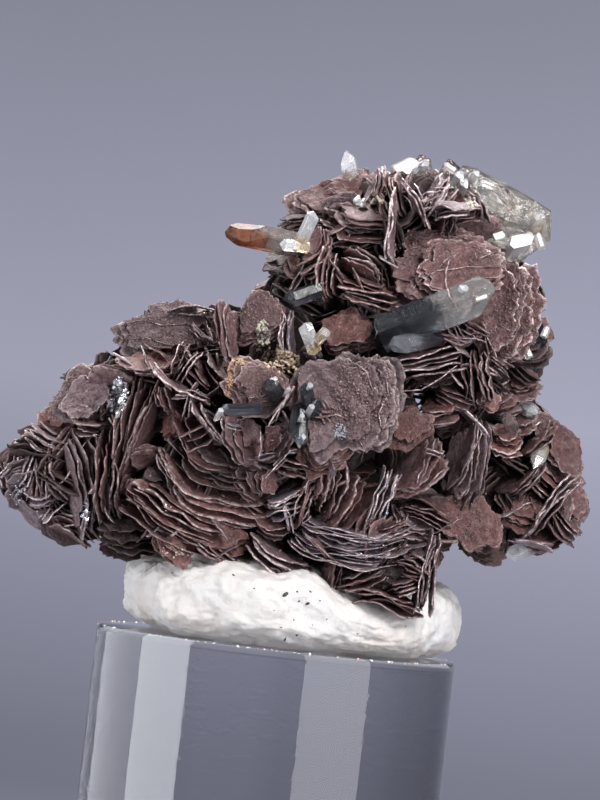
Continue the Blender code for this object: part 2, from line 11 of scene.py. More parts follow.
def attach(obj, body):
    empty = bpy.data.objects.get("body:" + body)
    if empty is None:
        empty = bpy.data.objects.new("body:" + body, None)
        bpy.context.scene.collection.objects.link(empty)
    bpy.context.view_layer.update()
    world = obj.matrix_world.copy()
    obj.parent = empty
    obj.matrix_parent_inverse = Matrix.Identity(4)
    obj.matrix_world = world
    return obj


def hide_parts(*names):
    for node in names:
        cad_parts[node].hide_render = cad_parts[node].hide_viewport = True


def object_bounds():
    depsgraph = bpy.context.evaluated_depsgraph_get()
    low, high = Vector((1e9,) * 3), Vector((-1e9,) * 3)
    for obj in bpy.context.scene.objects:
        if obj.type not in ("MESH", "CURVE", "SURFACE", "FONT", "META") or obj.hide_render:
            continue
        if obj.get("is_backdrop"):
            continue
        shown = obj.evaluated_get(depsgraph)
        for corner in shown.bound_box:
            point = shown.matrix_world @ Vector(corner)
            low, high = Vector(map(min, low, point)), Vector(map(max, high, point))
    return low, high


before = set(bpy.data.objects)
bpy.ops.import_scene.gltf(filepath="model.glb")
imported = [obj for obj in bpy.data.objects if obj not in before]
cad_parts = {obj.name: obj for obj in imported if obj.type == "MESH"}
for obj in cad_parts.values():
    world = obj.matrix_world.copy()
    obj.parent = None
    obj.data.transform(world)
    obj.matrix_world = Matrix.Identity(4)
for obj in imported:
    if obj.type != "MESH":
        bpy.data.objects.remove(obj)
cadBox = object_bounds()
mm = 0.001  # everything below is worked out in millimetres


# Nodes and materials

def newMaterial(name, **values):
    material = bpy.data.materials.new(name)
    material.use_nodes = True
    shader = material.node_tree.nodes["Principled BSDF"]
    for socket, value in values.items():
        shader.inputs[socket.replace("_", " ")].default_value = value
    return material, material.node_tree, shader


def addNode(tree, kind, inputs=None, **settings):
    node = tree.nodes.new("ShaderNode" + kind)
    for name, value in settings.items():
        setattr(node, name, value)
    for socket, value in (inputs or {}).items():
        if isinstance(value, bpy.types.NodeSocket):
            tree.links.new(value, node.inputs[socket])
        else:
            node.inputs[socket].default_value = value
    return node


def mathNode(tree, operation, *values):
    return addNode(tree, "Math", dict(enumerate(values)), operation=operation).outputs[0]


def mixColour(tree, share, first, second, blend="MIX"):
    first, second = [(*colour, 1.0) if isinstance(colour, tuple) else colour for colour in (first, second)]
    node = addNode(tree, "Mix", {0: share, 6: first, 7: second}, data_type="RGBA", blend_type=blend)
    return node.outputs[2]


# Stops are a place and a colour, or a place and a level of grey
def rampNode(tree, value, stops):
    ramp = addNode(tree, "ValToRGB", {0: value}).color_ramp
    while len(ramp.elements) < len(stops):
        ramp.elements.new(1.0)
    for element, (place, colour) in zip(ramp.elements, stops):
        element.position = place
        element.color = (*colour, 1.0) if isinstance(colour, tuple) else (colour, colour, colour, 1.0)
    return tree.nodes[-1].outputs[0]


def newGroup(name, inputs, outputs):
    group = bpy.data.node_groups.new(name, "ShaderNodeTree")
    for label, default in inputs.items():
        made = group.interface.new_socket(label, in_out="INPUT", socket_type="NodeSocketFloat")
        made.default_value = default
    for label in outputs:
        group.interface.new_socket(label, in_out="OUTPUT", socket_type="NodeSocketFloat")
    start = group.nodes.new("NodeGroupInput")
    end = group.nodes.new("NodeGroupOutput")
    place = addNode(group, "TexCoord").outputs["Object"]
    return group, start.outputs, end.inputs, place


def useGroup(tree, group, **values):
    return addNode(tree, "Group", values, node_tree=group).outputs


def noiseInMm(tree, place, perMm, detail=3.0, roughness=0.55):
    values = {"Vector": place, "Scale": perMm / mm, "Detail": detail, "Roughness": roughness}
    return addNode(tree, "TexNoise", values).outputs["Fac"]


def addBump(tree, shader, height, depth, strength=1.0):
    bump = addNode(tree, "Bump", {"Height": height, "Strength": strength, "Distance": depth * mm})
    tree.links.new(bump.outputs[0], shader.inputs["Normal"])


def addAbsorption(tree, colour, density):
    absorb = addNode(tree, "VolumeAbsorption", {"Color": (*colour, 1.0), "Density": density})
    tree.links.new(absorb.outputs[0], tree.nodes["Material Output"].inputs["Volume"])


# Waves per mm, detail, roughness and share of each layer
grainLayers = ((6.0, 4.0, 0.7, 0.5), (2.3, 4.0, 0.65, 0.75), (0.9, 2.0, 0.55, 0.35))


# Grain of a dull surface: its height, broad patches, and small pale specks
def makeGrainGroup():
    group, start, end, place = newGroup("surfaceGrain", {"Fineness": 1.0}, ["Height", "Patches", "Specks"])
    scale = {0: place, "Scale": start["Fineness"]}
    scaled = addNode(group, "VectorMath", scale, operation="SCALE").outputs[0]
    height = 0.0
    for perMm, detail, roughness, share in grainLayers:
        layer = noiseInMm(group, scaled, perMm, detail, roughness)
        height = mathNode(group, "MULTIPLY_ADD", layer, share, height)
    group.links.new(height, end["Height"])
    patches = noiseInMm(group, scaled, 0.45, 4.0, 0.6)
    group.links.new(rampNode(group, patches, [(0.38, 0.0), (0.66, 1.0)]), end["Patches"])
    specks = noiseInMm(group, scaled, 3.4, 2.0, 0.7)
    group.links.new(rampNode(group, specks, [(0.56, 0.0), (0.68, 1.0)]), end["Specks"])
    return group


# Pale rims, partly wear and partly painted highlight where the rims catch the light: takes the rim mask kept
# on the mesh and breaks it up
def makeRimGroup():
    group, start, end, place = newGroup("paleRims", {"Rim": 0.0}, ["Mask"])
    strong = rampNode(group, noiseInMm(group, place, 2.6, 3.0, 0.7), [(0.42, 0.08), (0.62, 1.0)])
    group.links.new(mathNode(group, "MULTIPLY", start["Rim"], strong), end["Mask"])
    return group


# Ledges of a sheet that follow its rim, from the distance kept on the mesh: they come and go
def makeGrowthGroup():
    group, start, end, place = newGroup("growthLedges", {"Reach": 0.0, "Spacing": 0.4}, ["Height", "Edge"])
    strayed = mathNode(group, "MULTIPLY_ADD", noiseInMm(group, place, 0.7, 5.0, 0.62), 1.9, start["Reach"])
    saw = mathNode(group, "FRACT", mathNode(group, "DIVIDE", strayed, start["Spacing"]))
    shown = rampNode(group, noiseInMm(group, place, 0.55, 2.0), [(0.42, 0.1), (0.6, 1.0)])
    group.links.new(mathNode(group, "MULTIPLY", saw, shown), end["Height"])
    edge = rampNode(group, saw, [(0.84, 0.0), (0.96, 1.0)])
    group.links.new(mathNode(group, "MULTIPLY", edge, shown), end["Edge"])
    return group


grainGroup = makeGrainGroup()
rimGroup = makeRimGroup()
growthGroup = makeGrowthGroup()

hematiteLook = {
    "mauve": (0.118, 0.050, 0.047),
    "red": (0.140, 0.050, 0.041),
    "dark": (0.020, 0.011, 0.013),
    "steel": (0.19, 0.185, 0.225),
    # pale rims and ledge edges: partly wear, partly painted highlight
    "rim": (0.66, 0.54, 0.53),
    # colour of the dust specks and of the painted highlight on the raised grain
    "dustAndHighlight": (0.30, 0.185, 0.18),
    "darkPatches": 0.35,
    "dustySpecks": 0.2,
    # share of painted highlight on the raised grain
    "highlightOnRaised": 0.5,
    "growthSpacing": 0.75,  # mm
    "growthDepth": 0.5,     # share of the bump
    "growthPaleness": 0.28,
    "bumpDepth": 0.2,       # mm
    "metallic": (0.12, 0.6),    # of a dull place, and what a shiny one adds
    "roughness": (0.5, -0.16),
}


def makeHematiteMaterial(name, look):
    material, tree, shader = newMaterial(name)
    mask = addNode(tree, "Attribute", attribute_name="sheetMask")
    reach = addNode(tree, "Attribute", attribute_name="sheetReach").outputs["Fac"]
    rim, red, steel = addNode(tree, "SeparateColor", {0: mask.outputs["Color"]}).outputs
    grain = useGroup(tree, grainGroup)
    ledges = useGroup(tree, growthGroup, Reach=reach, Spacing=look["growthSpacing"])
    # darker in the low places of the grain: painted shade in its pits
    shadeInPits = rampNode(tree, grain["Height"], [(0.62, 0.75), (0.78, 0.0)])
    steely = mathNode(tree, "MULTIPLY", steel, rampNode(tree, grain["Height"], [(0.7, 0.25), (0.9, 1.0)]))
    # paler on the raised places of the grain: painted highlight, in the colour of the dust specks
    raised = rampNode(tree, grain["Height"], [(0.82, 0.0), (1.02, 1.0)])
    highlightOnTop = mathNode(tree, "MULTIPLY", raised, look["highlightOnRaised"])
    base = mixColour(tree, red, look["mauve"], look["red"])
    layers = [
        (mathNode(tree, "MULTIPLY", grain["Patches"], look["darkPatches"]), "dark"),
        (shadeInPits, "dark"),
        (steely, "steel"),
        (mathNode(tree, "MULTIPLY_ADD", grain["Specks"], look["dustySpecks"], highlightOnTop), "dustAndHighlight"),
        # pale ledge edges and rims: partly wear, partly painted highlight
        (mathNode(tree, "MULTIPLY", ledges["Edge"], look["growthPaleness"]), "rim"),
        (useGroup(tree, rimGroup, Rim=rim)["Mask"], "rim"),
    ]
    for share, colour in layers:
        base = mixColour(tree, share, base, look[colour])
    scale = {0: base, "Scale": mask.outputs["Alpha"]}
    bright = addNode(tree, "VectorMath", scale, operation="SCALE").outputs[0]
    tree.links.new(bright, shader.inputs["Base Color"])
    shiny = mathNode(tree, "MAXIMUM", steely, mathNode(tree, "MULTIPLY", rim, 0.6))
    for socket, (dull, more) in (("Metallic", look["metallic"]), ("Roughness", look["roughness"])):
        tree.links.new(mathNode(tree, "MULTIPLY_ADD", shiny, more, dull), shader.inputs[socket])
    height = mathNode(tree, "MULTIPLY_ADD", ledges["Height"], look["growthDepth"], grain["Height"])
    addBump(tree, shader, height, look["bumpDepth"])
    return material


hematiteMaterial = makeHematiteMaterial("specularHematite", hematiteLook)
print("materials for the hematite are ready")


# Meshes from arrays

def linkObject(name, data):
    made = bpy.data.objects.new(name, data)
    bpy.context.scene.collection.objects.link(made)
    return made


def linkShape(name, shape, material):
    mesh = bpy.data.meshes.new(name)
    shape.to_mesh(mesh)
    shape.free()
    mesh.materials.append(material)
    return linkObject(name, mesh)


def newHeap():
    return {"points": [], "masks": [], "reach": [], "quads": [], "tris": [], "count": 0}


def addToHeap(heap, points, masks, reach, quads, tris):
    start = heap["count"]
    heap["points"].append(points)
    heap["masks"].append(masks)
    heap["reach"].append(reach)
    heap["quads"].append(quads + start)
    heap["tris"].append(tris + start)
    heap["count"] = start + len(points)


def pieceFromHeap(name, heap, material):
    points = np.concatenate(heap["points"]) * mm
    quads = np.concatenate(heap["quads"]).reshape(-1, 4)
    tris = np.concatenate(heap["tris"]).reshape(-1, 3)
    corners = np.concatenate([quads.ravel(), tris.ravel()]).astype(np.int32)
    starts = np.concatenate([np.arange(len(quads)) * 4, len(quads) * 4 + np.arange(len(tris)) * 3])
    mesh = bpy.data.meshes.new(name)
    mesh.vertices.add(len(points))
    mesh.vertices.foreach_set("co", points.astype(np.float32).ravel())
    mesh.loops.add(len(corners))
    mesh.loops.foreach_set("vertex_index", corners)
    mesh.polygons.add(len(starts))
    mesh.polygons.foreach_set("loop_start", starts.astype(np.int32))
    mesh.update(calc_edges=True)
    masks = mesh.attributes.new("sheetMask", "FLOAT_COLOR", "POINT")
    masks.data.foreach_set("color", np.concatenate(heap["masks"]).astype(np.float32).ravel())
    reach = mesh.attributes.new("sheetReach", "FLOAT", "POINT")
    reach.data.foreach_set("value", np.concatenate(heap["reach"]).astype(np.float32))
    mesh.shade_smooth()
    mesh.materials.append(material)
    print(name, "has", len(quads) * 2 + len(tris), "triangles")
    return linkObject(name, mesh)


# Hematite sheets

# A book is a stack of parallel sheets, placed as it looks from the front: x and z give its middle,
# front the y of its nearest edge, lie the angle of its edges above X, and lean how far its broad
# faces turn to the front. half and deep are a sheet's half lengths along its edge and across it.
# fan turns each sheet a little more, about the end that hinge names. curl lifts the ends. step is
# how much narrower the nearest sheet is than the farthest, and stepWay where its free rims lie,
# as an angle from the sheet's edge.
Book = namedtuple("Book", "x z front lie lean half deep sheets pitch tone fan hinge curl step stepWay")
Book.__new__.__defaults__ = ("mauve", 0.0, 0.0, 0.0, 0.2, None)

# red, steel and rim shares of each tone, and its brightness. The pale rim is partly wear, partly painted
# highlight; "bright" is a lit copy of the sheets with painted highlight on its rims, and "dark" a shaded
# copy, painted shade
sheetTones = {
    "mauve": (0.25, 0.10, 0.8, 1.05),
    "red": (1.0, 0.0, 0.5, 1.0),
    "steel": (0.1, 1.0, 1.2, 1.35),
    "grey": (0.0, 0.45, 0.8, 1.15),
    "bright": (0.2, 0.5, 1.5, 1.15),
    "pink": (0.6, 0.0, 1.0, 1.25),
    "dark": (0.1, 0.12, 0.4, 0.38),
    "ledge": (0.15, 0.05, 1.7, 1.15),
    "dull": (0.05, 0.3, 0.9, 0.8),
}

leftLobeBooks = [
    Book(-17.2, 37.1, -3.5, -18, 10, 2.0, 1.6, 6, 0.3, "bright"),
    Book(-19.2, 34.9, -1.6, 96, -25, 1.7, 1.5, 5, 0.45, "steel"),
    Book(-18.4, 34.9, -2.6, 74, 15, 1.6, 1.4, 4, 0.35, "steel"),
    Book(-16.8, 34.6, -3.4, -64, 15, 1.6, 1.3, 4, 0.35, "grey"),
    Book(-17.2, 33.0, -3.0, 25, 25, 1.3, 1.4, 4, 0.45, "steel"),
    Book(-17.6, 32.2, -1.8, -38, -20, 2.4, 2.2, 4, 0.35, "grey"),
    Book(-14.8, 31.3, -3.0, -26, -10, 2.1, 2.2, 5, 0.3),
    Book(-14.4, 34.8, -5.0, -73, -22, 3.1, 2.2, 8, 0.33, "grey"),
    Book(-12.8, 35.3, -6.0, -84, 8, 3.0, 2.4, 6, 0.28),
    Book(-11.1, 38.7, -7.2, 80, -18, 3.7, 2.6, 9, 0.32, fan=1.5, hinge=1, curl=0.4),
    Book(-11.0, 31.5, -6.0, 8, 25, 2.3, 2.2, 5, 0.45, "dark"),
    Book(-16.8, 38.8, -2.8, 42, 66, 1.6, 1.4, 4, 0.3, "pink"),
    Book(-14.9, 40.4, -4.6, 55, 66, 2.3, 1.9, 5, 0.3, "grey"),
    Book(-12.7, 40.7, -4.2, 84, 48, 1.6, 1.0, 3, 0.3, "steel"),
]
leftCapBooks = [
    Book(-10.0, 45.2, -5.8, 5, 64, 3.7, 2.5, 8, 0.28, "dull", step=0.3, stepWay=-90),
    Book(-10.9, 43.3, -7.2, 4, 26, 2.3, 1.5, 4, 0.22, "pink"),
    Book(-8.6, 43.5, -8.0, 66, 0, 1.5, 1.2, 4, 0.25, "bright", fan=7.0, hinge=-1),
    Book(-6.6, 42.8, -7.6, -43, 18, 2.0, 1.8, 5, 0.5),
    Book(-8.5, 41.8, -8.8, -18, 0, 2.4, 1.3, 2, 0.2, "bright"),
    Book(-6.3, 39.6, -8.9, -47, 0, 2.2, 1.3, 3, 0.2, "bright"),
    Book(-8.6, 39.3, -6.6, 60, 58, 1.4, 1.0, 2, 0.3, "red"),
    Book(-9.4, 40.9, -7.4, -65, 20, 1.2, 1.2, 4, 0.3),
    Book(-6.9, 38.5, -8.8, 38, 10, 1.2, 0.8, 3, 0.5),
    Book(-5.6, 45.9, -8.4, -78, 34, 2.3, 1.0, 4, 0.25),
    Book(-3.5, 47.3, -8.4, 62, 64, 2.3, 1.8, 5, 0.28),
    Book(-1.7, 46.4, -8.6, -81, 5, 1.9, 1.2, 4, 0.25, "steel"),
    Book(-8.3, 47.1, -4.6, 4, 4, 1.6, 1.0, 2, 0.22, "bright"),
]
lowerFrontBooks = [
    Book(-4.4, 36.4, -9.8, -8, 36, 5.0, 3.8, 14, 0.26, curl=0.9, step=0.3, stepWay=-90),
    Book(-7.8, 32.9, -9.6, -24, 12, 4.0, 2.2, 8, 0.33),
    Book(-5.0, 32.1, -8.9, -12, 52, 2.7, 1.4, 3, 0.3, "red"),
    Book(-7.6, 30.9, -8.6, -30, 72, 1.6, 1.2, 3, 0.3, "red"),
    Book(-4.8, 31.0, -9.2, -33, 8, 1.9, 1.6, 4, 0.3),
    Book(-0.5, 30.9, -10.0, -24, 15, 2.4, 1.9, 6, 0.25, "bright"),
    Book(-1.0, 33.1, -9.4, -3, 25, 1.2, 1.4, 3, 0.4),
    Book(-0.4, 34.9, -10.2, 27, 12, 1.8, 1.8, 5, 0.27, "steel"),
    Book(0.7, 34.9, -10.3, 74, 5, 2.0, 1.4, 4, 0.3),
    Book(1.8, 36.5, -10.3, 86, 20, 1.6, 1.3, 4, 0.28),
    Book(-3.0, 35.8, -9.6, -60, 42, 1.4, 1.1, 3, 0.35),
    Book(-1.8, 36.0, -9.9, -70, 48, 1.2, 1.0, 3, 0.3),
    Book(0.0, 37.2, -9.9, -14, 5, 1.4, 1.2, 4, 0.25),
]
lowerRightBooks = [
    Book(4.6, 32.5, -11.2, 2, 10, 4.1, 2.8, 14, 0.175, "steel", curl=0.35),
    Book(3.2, 35.7, -10.2, 68, 18, 2.2, 1.6, 6, 0.3, fan=7.0, hinge=-1),
    Book(5.9, 35.8, -10.5, 70, 6, 2.4, 1.6, 5, 0.26, "steel"),
    Book(8.2, 38.0, -10.2, 56, 34, 2.8, 1.8, 6, 0.26, fan=-9.0, hinge=-1),
    Book(9.3, 35.4, -9.8, -14, 8, 1.9, 1.8, 5, 0.28),
    Book(8.6, 34.5, -9.3, -27, 32, 1.8, 1.5, 3, 0.35, "bright"),
    Book(6.9, 33.9, -10.3, 25, 5, 1.1, 1.1, 4, 0.22),
    Book(9.0, 31.9, -10.4, -27, 8, 1.3, 1.3, 4, 0.25),
    Book(9.6, 31.1, -10.4, 88, 5, 2.7, 1.5, 5, 0.2, "bright"),
    Book(5.6, 30.4, -10.2, 35, 5, 2.1, 1.5, 4, 0.28),
    Book(8.5, 31.1, -10.0, -8, 5, 1.3, 1.4, 3, 0.33, "red"),
    Book(8.3, 30.1, -9.9, 22, 5, 1.3, 1.4, 4, 0.28),
    Book(6.9, 29.2, -10.3, -6, 8, 3.2, 2.0, 4, 0.26),
    Book(3.1, 30.2, -9.4, 80, 25, 1.3, 1.3, 4, 0.25),
]
rightLobeBooks = [
    Book(12.2, 34.8, -5.6, -35, 78, 2.7, 2.4, 4, 0.32, "red"),
    Book(11.6, 39.2, -7.2, 83, 38, 2.9, 1.7, 6, 0.3, "grey"),
    Book(14.1, 40.8, -4.8, 0, 42, 1.4, 1.4, 4, 0.38, "pink"),
    Book(15.2, 39.1, -4.6, -26, 5, 1.4, 1.3, 3, 0.22, "dark"),
    Book(16.3, 40.9, -4.4, 49, 10, 1.7, 1.4, 3, 0.25),
    Book(15.8, 38.1, -4.8, 55, 5, 1.5, 1.2, 3, 0.3),
    Book(17.0, 37.9, -4.4, -40, 15, 1.1, 1.1, 4, 0.32),
    Book(17.6, 36.5, -5.0, 57, 3, 3.0, 1.6, 4, 0.24, "bright"),
    Book(18.7, 35.3, -4.0, -38, 8, 1.5, 1.4, 4, 0.35),
    Book(18.0, 40.4, -3.0, -57, 58, 2.2, 1.8, 4, 0.32),
    Book(19.3, 36.9, -2.8, -82, 52, 1.9, 1.7, 4, 0.32),
    Book(15.7, 36.0, -4.6, -5, 55, 1.7, 1.5, 4, 0.3, "red"),
    Book(17.4, 34.2, -3.6, 4, 30, 1.4, 1.5, 4, 0.32),
    Book(13.2, 33.2, -4.2, -12, 60, 1.7, 1.3, 3, 0.3, "dark"),
    Book(15.2, 42.0, -3.8, 16, 38, 1.4, 1.4, 3, 0.35),
]
upperLobeBooks = [
    Book(-0.6, 55.5, -3.0, -12, 56, 1.9, 1.5, 5, 0.28),
    Book(1.8, 56.9, -2.6, 18, 52, 2.0, 1.6, 5, 0.28),
    Book(-2.0, 54.0, -3.8, 20, 10, 1.2, 1.3, 4, 0.25, "dark"),
    Book(2.6, 54.4, -5.8, -3, 24, 2.7, 2.2, 11, 0.22),
    Book(4.5, 54.4, -8.0, -86, 20, 2.8, 0.8, 2, 0.22, "bright"),
    Book(6.2, 56.0, -7.4, -58, 4, 1.6, 0.9, 2, 0.24, "bright"),
    Book(5.6, 57.0, -6.9, -48, 4, 1.1, 0.8, 2, 0.24, "bright"),
    Book(7.4, 56.6, -6.9, 62, 6, 1.2, 0.8, 2, 0.24, "bright"),
    Book(3.4, 57.2, -6.4, 88, 8, 0.9, 0.9, 3, 0.24),
    Book(8.6, 56.0, -7.0, 12, 6, 1.9, 1.0, 3, 0.26, "bright"),
    Book(4.7, 56.2, -5.6, -72, 8, 1.9, 1.5, 7, 0.34),
    Book(4.2, 57.2, -2.6, 4, 40, 1.8, 1.3, 4, 0.28, "red"),
    Book(6.2, 56.1, -5.4, -54, 4, 1.5, 1.2, 4, 0.24, "steel"),
    Book(7.5, 57.1, -4.2, 62, 12, 1.4, 1.2, 4, 0.28, "bright"),
    Book(8.8, 55.8, -5.0, 8, 10, 2.1, 1.6, 5, 0.24),
    Book(-0.2, 52.6, -6.0, 72, 38, 1.5, 1.1, 4, 0.26),
    Book(-1.7, 50.9, -5.4, -60, 55, 0.9, 0.8, 2, 0.25, "red"),
    Book(-2.7, 51.2, -3.6, 35, 40, 1.3, 1.2, 4, 0.3, "dark"),
    Book(0.0, 51.2, -6.5, 40, 5, 1.3, 1.0, 4, 0.38),
    Book(0.6, 50.6, -7.0, -82, 10, 1.7, 1.2, 4, 0.27),
    Book(3.1, 51.5, -7.2, -33, -22, 2.0, 1.4, 4, 0.33),
    Book(3.5, 49.7, -8.0, -6, 8, 2.4, 2.0, 7, 0.27),
    Book(2.4, 47.0, -7.6, 22, 66, 2.2, 1.7, 5, 0.3, "red"),
    Book(3.1, 48.6, -6.6, 68, 10, 0.9, 1.0, 3, 0.22, "bright"),
    Book(8.4, 52.0, -8.8, 8, 60, 5.1, 3.5, 10, 0.27, "ledge", step=0.46, stepWay=135),
    Book(12.8, 49.5, -6.6, 78, 72, 3.6, 2.8, 7, 0.28, "ledge", step=0.34, stepWay=-90),
    Book(11.6, 44.6, -7.6, -79, 5, 2.0, 1.7, 7, 0.29),
    Book(8.0, 45.4, -9.2, 20, 6, 2.9, 2.0, 5, 0.42, "bright", fan=2.0, hinge=1),
    Book(9.7, 47.7, -8.4, -60, 5, 1.2, 1.0, 3, 0.25, "bright"),
    Book(11.0, 48.0, -8.0, -20, 5, 1.2, 1.0, 3, 0.4),
    Book(12.9, 45.7, -6.8, -30, 5, 0.9, 1.1, 4, 0.25),
    Book(12.6, 43.3, -6.8, 10, 68, 1.0, 1.0, 3, 0.28, "pink"),
    Book(14.7, 44.6, -4.2, 6, 40, 1.6, 1.5, 5, 0.36),
    Book(5.8, 43.4, -7.6, -60, 58, 1.3, 0.8, 2, 0.28, "red"),
    Book(9.3, 42.1, -6.8, 10, 28, 1.4, 1.4, 4, 0.32),
    Book(7.3, 41.0, -8.8, 35, 78, 1.7, 1.6, 3, 0.3, "red"),
]
rosetteBooks = [
    Book(2.9, 41.9, -11.3, 78, 80, 4.3, 3.6, 7, 0.26, "dull", step=0.26, stepWay=-100),
    Book(-3.2, 42.6, -11.0, 0, 78, 2.3, 2.0, 5, 0.28),
    Book(-3.7, 38.8, -10.7, -55, 62, 2.0, 1.6, 5, 0.28),
    Book(-1.5, 39.0, -10.8, 74, 42, 1.6, 1.2, 4, 0.28),
    Book(1.8, 38.8, -10.9, 15, 72, 2.0, 1.7, 5, 0.28, "red"),
    Book(1.3, 41.2, -11.6, 8, 10, 1.1, 0.9, 2, 0.22),
    Book(-1.4, 41.6, -11.6, 62, 8, 1.5, 0.9, 2, 0.22, "bright"),
    Book(-1.3, 37.6, -11.0, 52, 5, 1.3, 1.0, 2, 0.24),
]

# The massive heart that the books grow from: middle point and half sizes of each lump
heartLumps = [
    ((-3.0, 0.0, 35.8), (13.2, 8.6, 5.6)),
    ((-15.4, 1.2, 35.2), (4.8, 4.6, 4.2)),
    ((-12.4, 0.4, 39.4), (4.6, 5.6, 4.6)),
    ((-8.4, 0.2, 43.2), (5.0, 6.4, 3.9)),
    ((0.8, 0.0, 41.8), (8.6, 10.0, 6.6)),
    ((4.8, 0.2, 48.2), (8.6, 7.6, 5.6)),
    ((4.6, 0.6, 53.0), (7.8, 6.6, 5.2)),
    ((11.4, 0.6, 45.6), (5.0, 6.8, 7.0)),
    ((14.6, 1.6, 37.6), (5.2, 5.6, 4.5)),
    ((6.2, -2.0, 33.4), (4.8, 7.8, 3.8)),
    ((6.8, -7.0, 31.0), (3.2, 3.0, 2.6)),
]

# Outline of the whole specimen as it looks from the front, which no unseen book leaves
specimenOutline = [
    (-20.4, 33.4), (-20.6, 35.8), (-19.4, 37.5), (-17.5, 40.2), (-15.5, 41.7), (-13.7, 43.2), (-13.8, 44.5),
    (-12.0, 46.7), (-10.0, 47.5), (-7.0, 47.5), (-5.3, 48.6), (-3.1, 49.6), (-4.3, 51.0), (-2.4, 55.2),
    (-1.8, 56.2), (-0.2, 56.6), (0.4, 57.4), (3.3, 58.6), (8.0, 59.0), (11.0, 58.6), (14.0, 57.0),
    (15.6, 54.5), (15.4, 51.6), (16.5, 49.2), (16.9, 47.5), (16.2, 45.8), (16.2, 43.2), (17.0, 42.6),
    (19.0, 40.0), (20.3, 38.0), (20.8, 36.2), (19.9, 34.3), (18.4, 33.1), (15.2, 32.8), (13.5, 31.9),
    (11.2, 32.6), (10.2, 31.8), (10.2, 29.8), (0.0, 30.2), (-16.0, 30.0), (-18.0, 31.3), (-19.5, 32.2),
]

sheets = {
    "thickness": 0.15,
    "thicknesses": (0.55, 1.5),     # shares of it
    "rimThinning": 0.35,
    "pointSpacing": 0.27,   # between points along a rim
    "fewestPoints": 14,
    "mostPoints": 96,
    "hexagonShare": 0.4,
    "unevenness": 0.2,      # of a book's outline
    "unevenWaves": (2, 3, 4, 5, 7),
    "rimTeeth": 0.07,       # ragged rims, in mm
    "toothWaves": (9, 14, 23),
    "rimNotches": 6,
    "notchWidths": (0.07, 0.28),
    "notchDepths": (0.02, 0.11),
    "rimChips": 5,
    "chipWidths": (0.1, 0.5),
    "chipDepths": (0.0, 0.16),
    "ruffle": 0.11,         # waves of a rim out of its plane, in mm
    "ruffleWaves": (2, 3, 5, 8, 13),
    "wave": 0.08,
    "waveWidths": (1.7, 2.6, 4.0),
    "broadWaveWidths": (1.7, 2.6, 4.0, 0.9, 1.2, 0.7),
    "paleFrom": 0.9,        # where the pale rim begins, and its width, as shares of the sheet
    "paleWidth": 0.1,
    "glow": (0.78, 1.2),    # brightness of single sheets, and how much pale rim each gets: partly wear, partly painted highlight
    "rimWearAndHighlight": (0.15, 1.35),
    "broadLean": 45,        # degrees from which a book shows its broad faces
    "tilt": 2.6,            # degrees between neighbours
    "slip": 0.09,
    "slipOfSteps": 0.4,     # share of it in a book with wide steps
    "wideStep": 0.25,
    "sizes": (0.8, 1.05),
    "brokenShare": 0.15,
    "brokenSizes": (0.65, 0.85),
    "largeHalf": 2.8,       # mm from which a near sheet gets the most rings
    "seed": 5,
}
# Rings of a sheet, as shares of its outline
ringShares = {
    "coarse": [0.55, 0.96],
    "onEdge": [0.5, 0.88, 0.98],
    "broad": [0.35, 0.7, 0.9, 0.98],
    "fine": [0.2, 0.4, 0.58, 0.74, 0.87, 0.95, 0.985],
    "large": [0.1, 0.2, 0.29, 0.38, 0.47, 0.55, 0.63, 0.7, 0.77, 0.84, 0.9, 0.95, 0.985],
}


def sheetAxes(lie, lean):
    lie = math.radians(lie)
    lean = math.radians(lean)
    along = Vector((math.cos(lie), 0.0, math.sin(lie)))
    upright = Vector((-math.sin(lie), 0.0, math.cos(lie)))
    normal = upright * math.cos(lean) + Vector((0.0, -1.0, 0.0)) * math.sin(lean)
    return along, normal.cross(along), normal


def bookMiddle(book):
    _, across, normal = sheetAxes(book.lie, book.lean)
    thick = book.pitch * (book.sheets - 1) / 2
    return Vector((book.x, book.front + book.deep * abs(across.y) + thick * abs(normal.y), book.z))


# Rim of a sheet: a rounded hexagon with slow waves, fine teeth, notches and broken-off chips
def raggedRim(turns, half, bookWaves, raggedness, dice):
    sixth = math.pi / 3
    hexagon = math.cos(sixth / 2) / np.cos(np.mod(turns, sixth) - sixth / 2)
    rim = sheets["hexagonShare"] * hexagon + 1 - sheets["hexagonShare"]
    for n, size, start in bookWaves:
        rim = rim + size * np.cos(n * turns + start)
    tooth = sheets["rimTeeth"] / half * raggedness
    rim = rim + np.array([dice.gauss(0.0, 0.6 * tooth) for _ in turns])
    for n in sheets["toothWaves"]:
        rim = rim + tooth * 0.6 * np.cos(n * turns + dice.uniform(0, math.tau))
    for _ in range(sheets["rimNotches"]):
        away = np.abs(np.angle(np.exp(1j * (turns - dice.uniform(0, math.tau)))))
        width = dice.uniform(*sheets["notchWidths"])
        depth = raggedness * dice.uniform(*sheets["notchDepths"])
        rim = rim - depth * np.clip(1 - away / width, 0, 1) ** 0.7
    for _ in range(sheets["rimChips"]):
        away = np.abs(np.angle(np.exp(1j * (turns - dice.uniform(0, math.tau)))))
        depth = raggedness * dice.uniform(*sheets["chipDepths"]) / half
        rim = rim - depth * (away < dice.uniform(*sheets["chipWidths"]))
    return rim


faceIndexes = {}


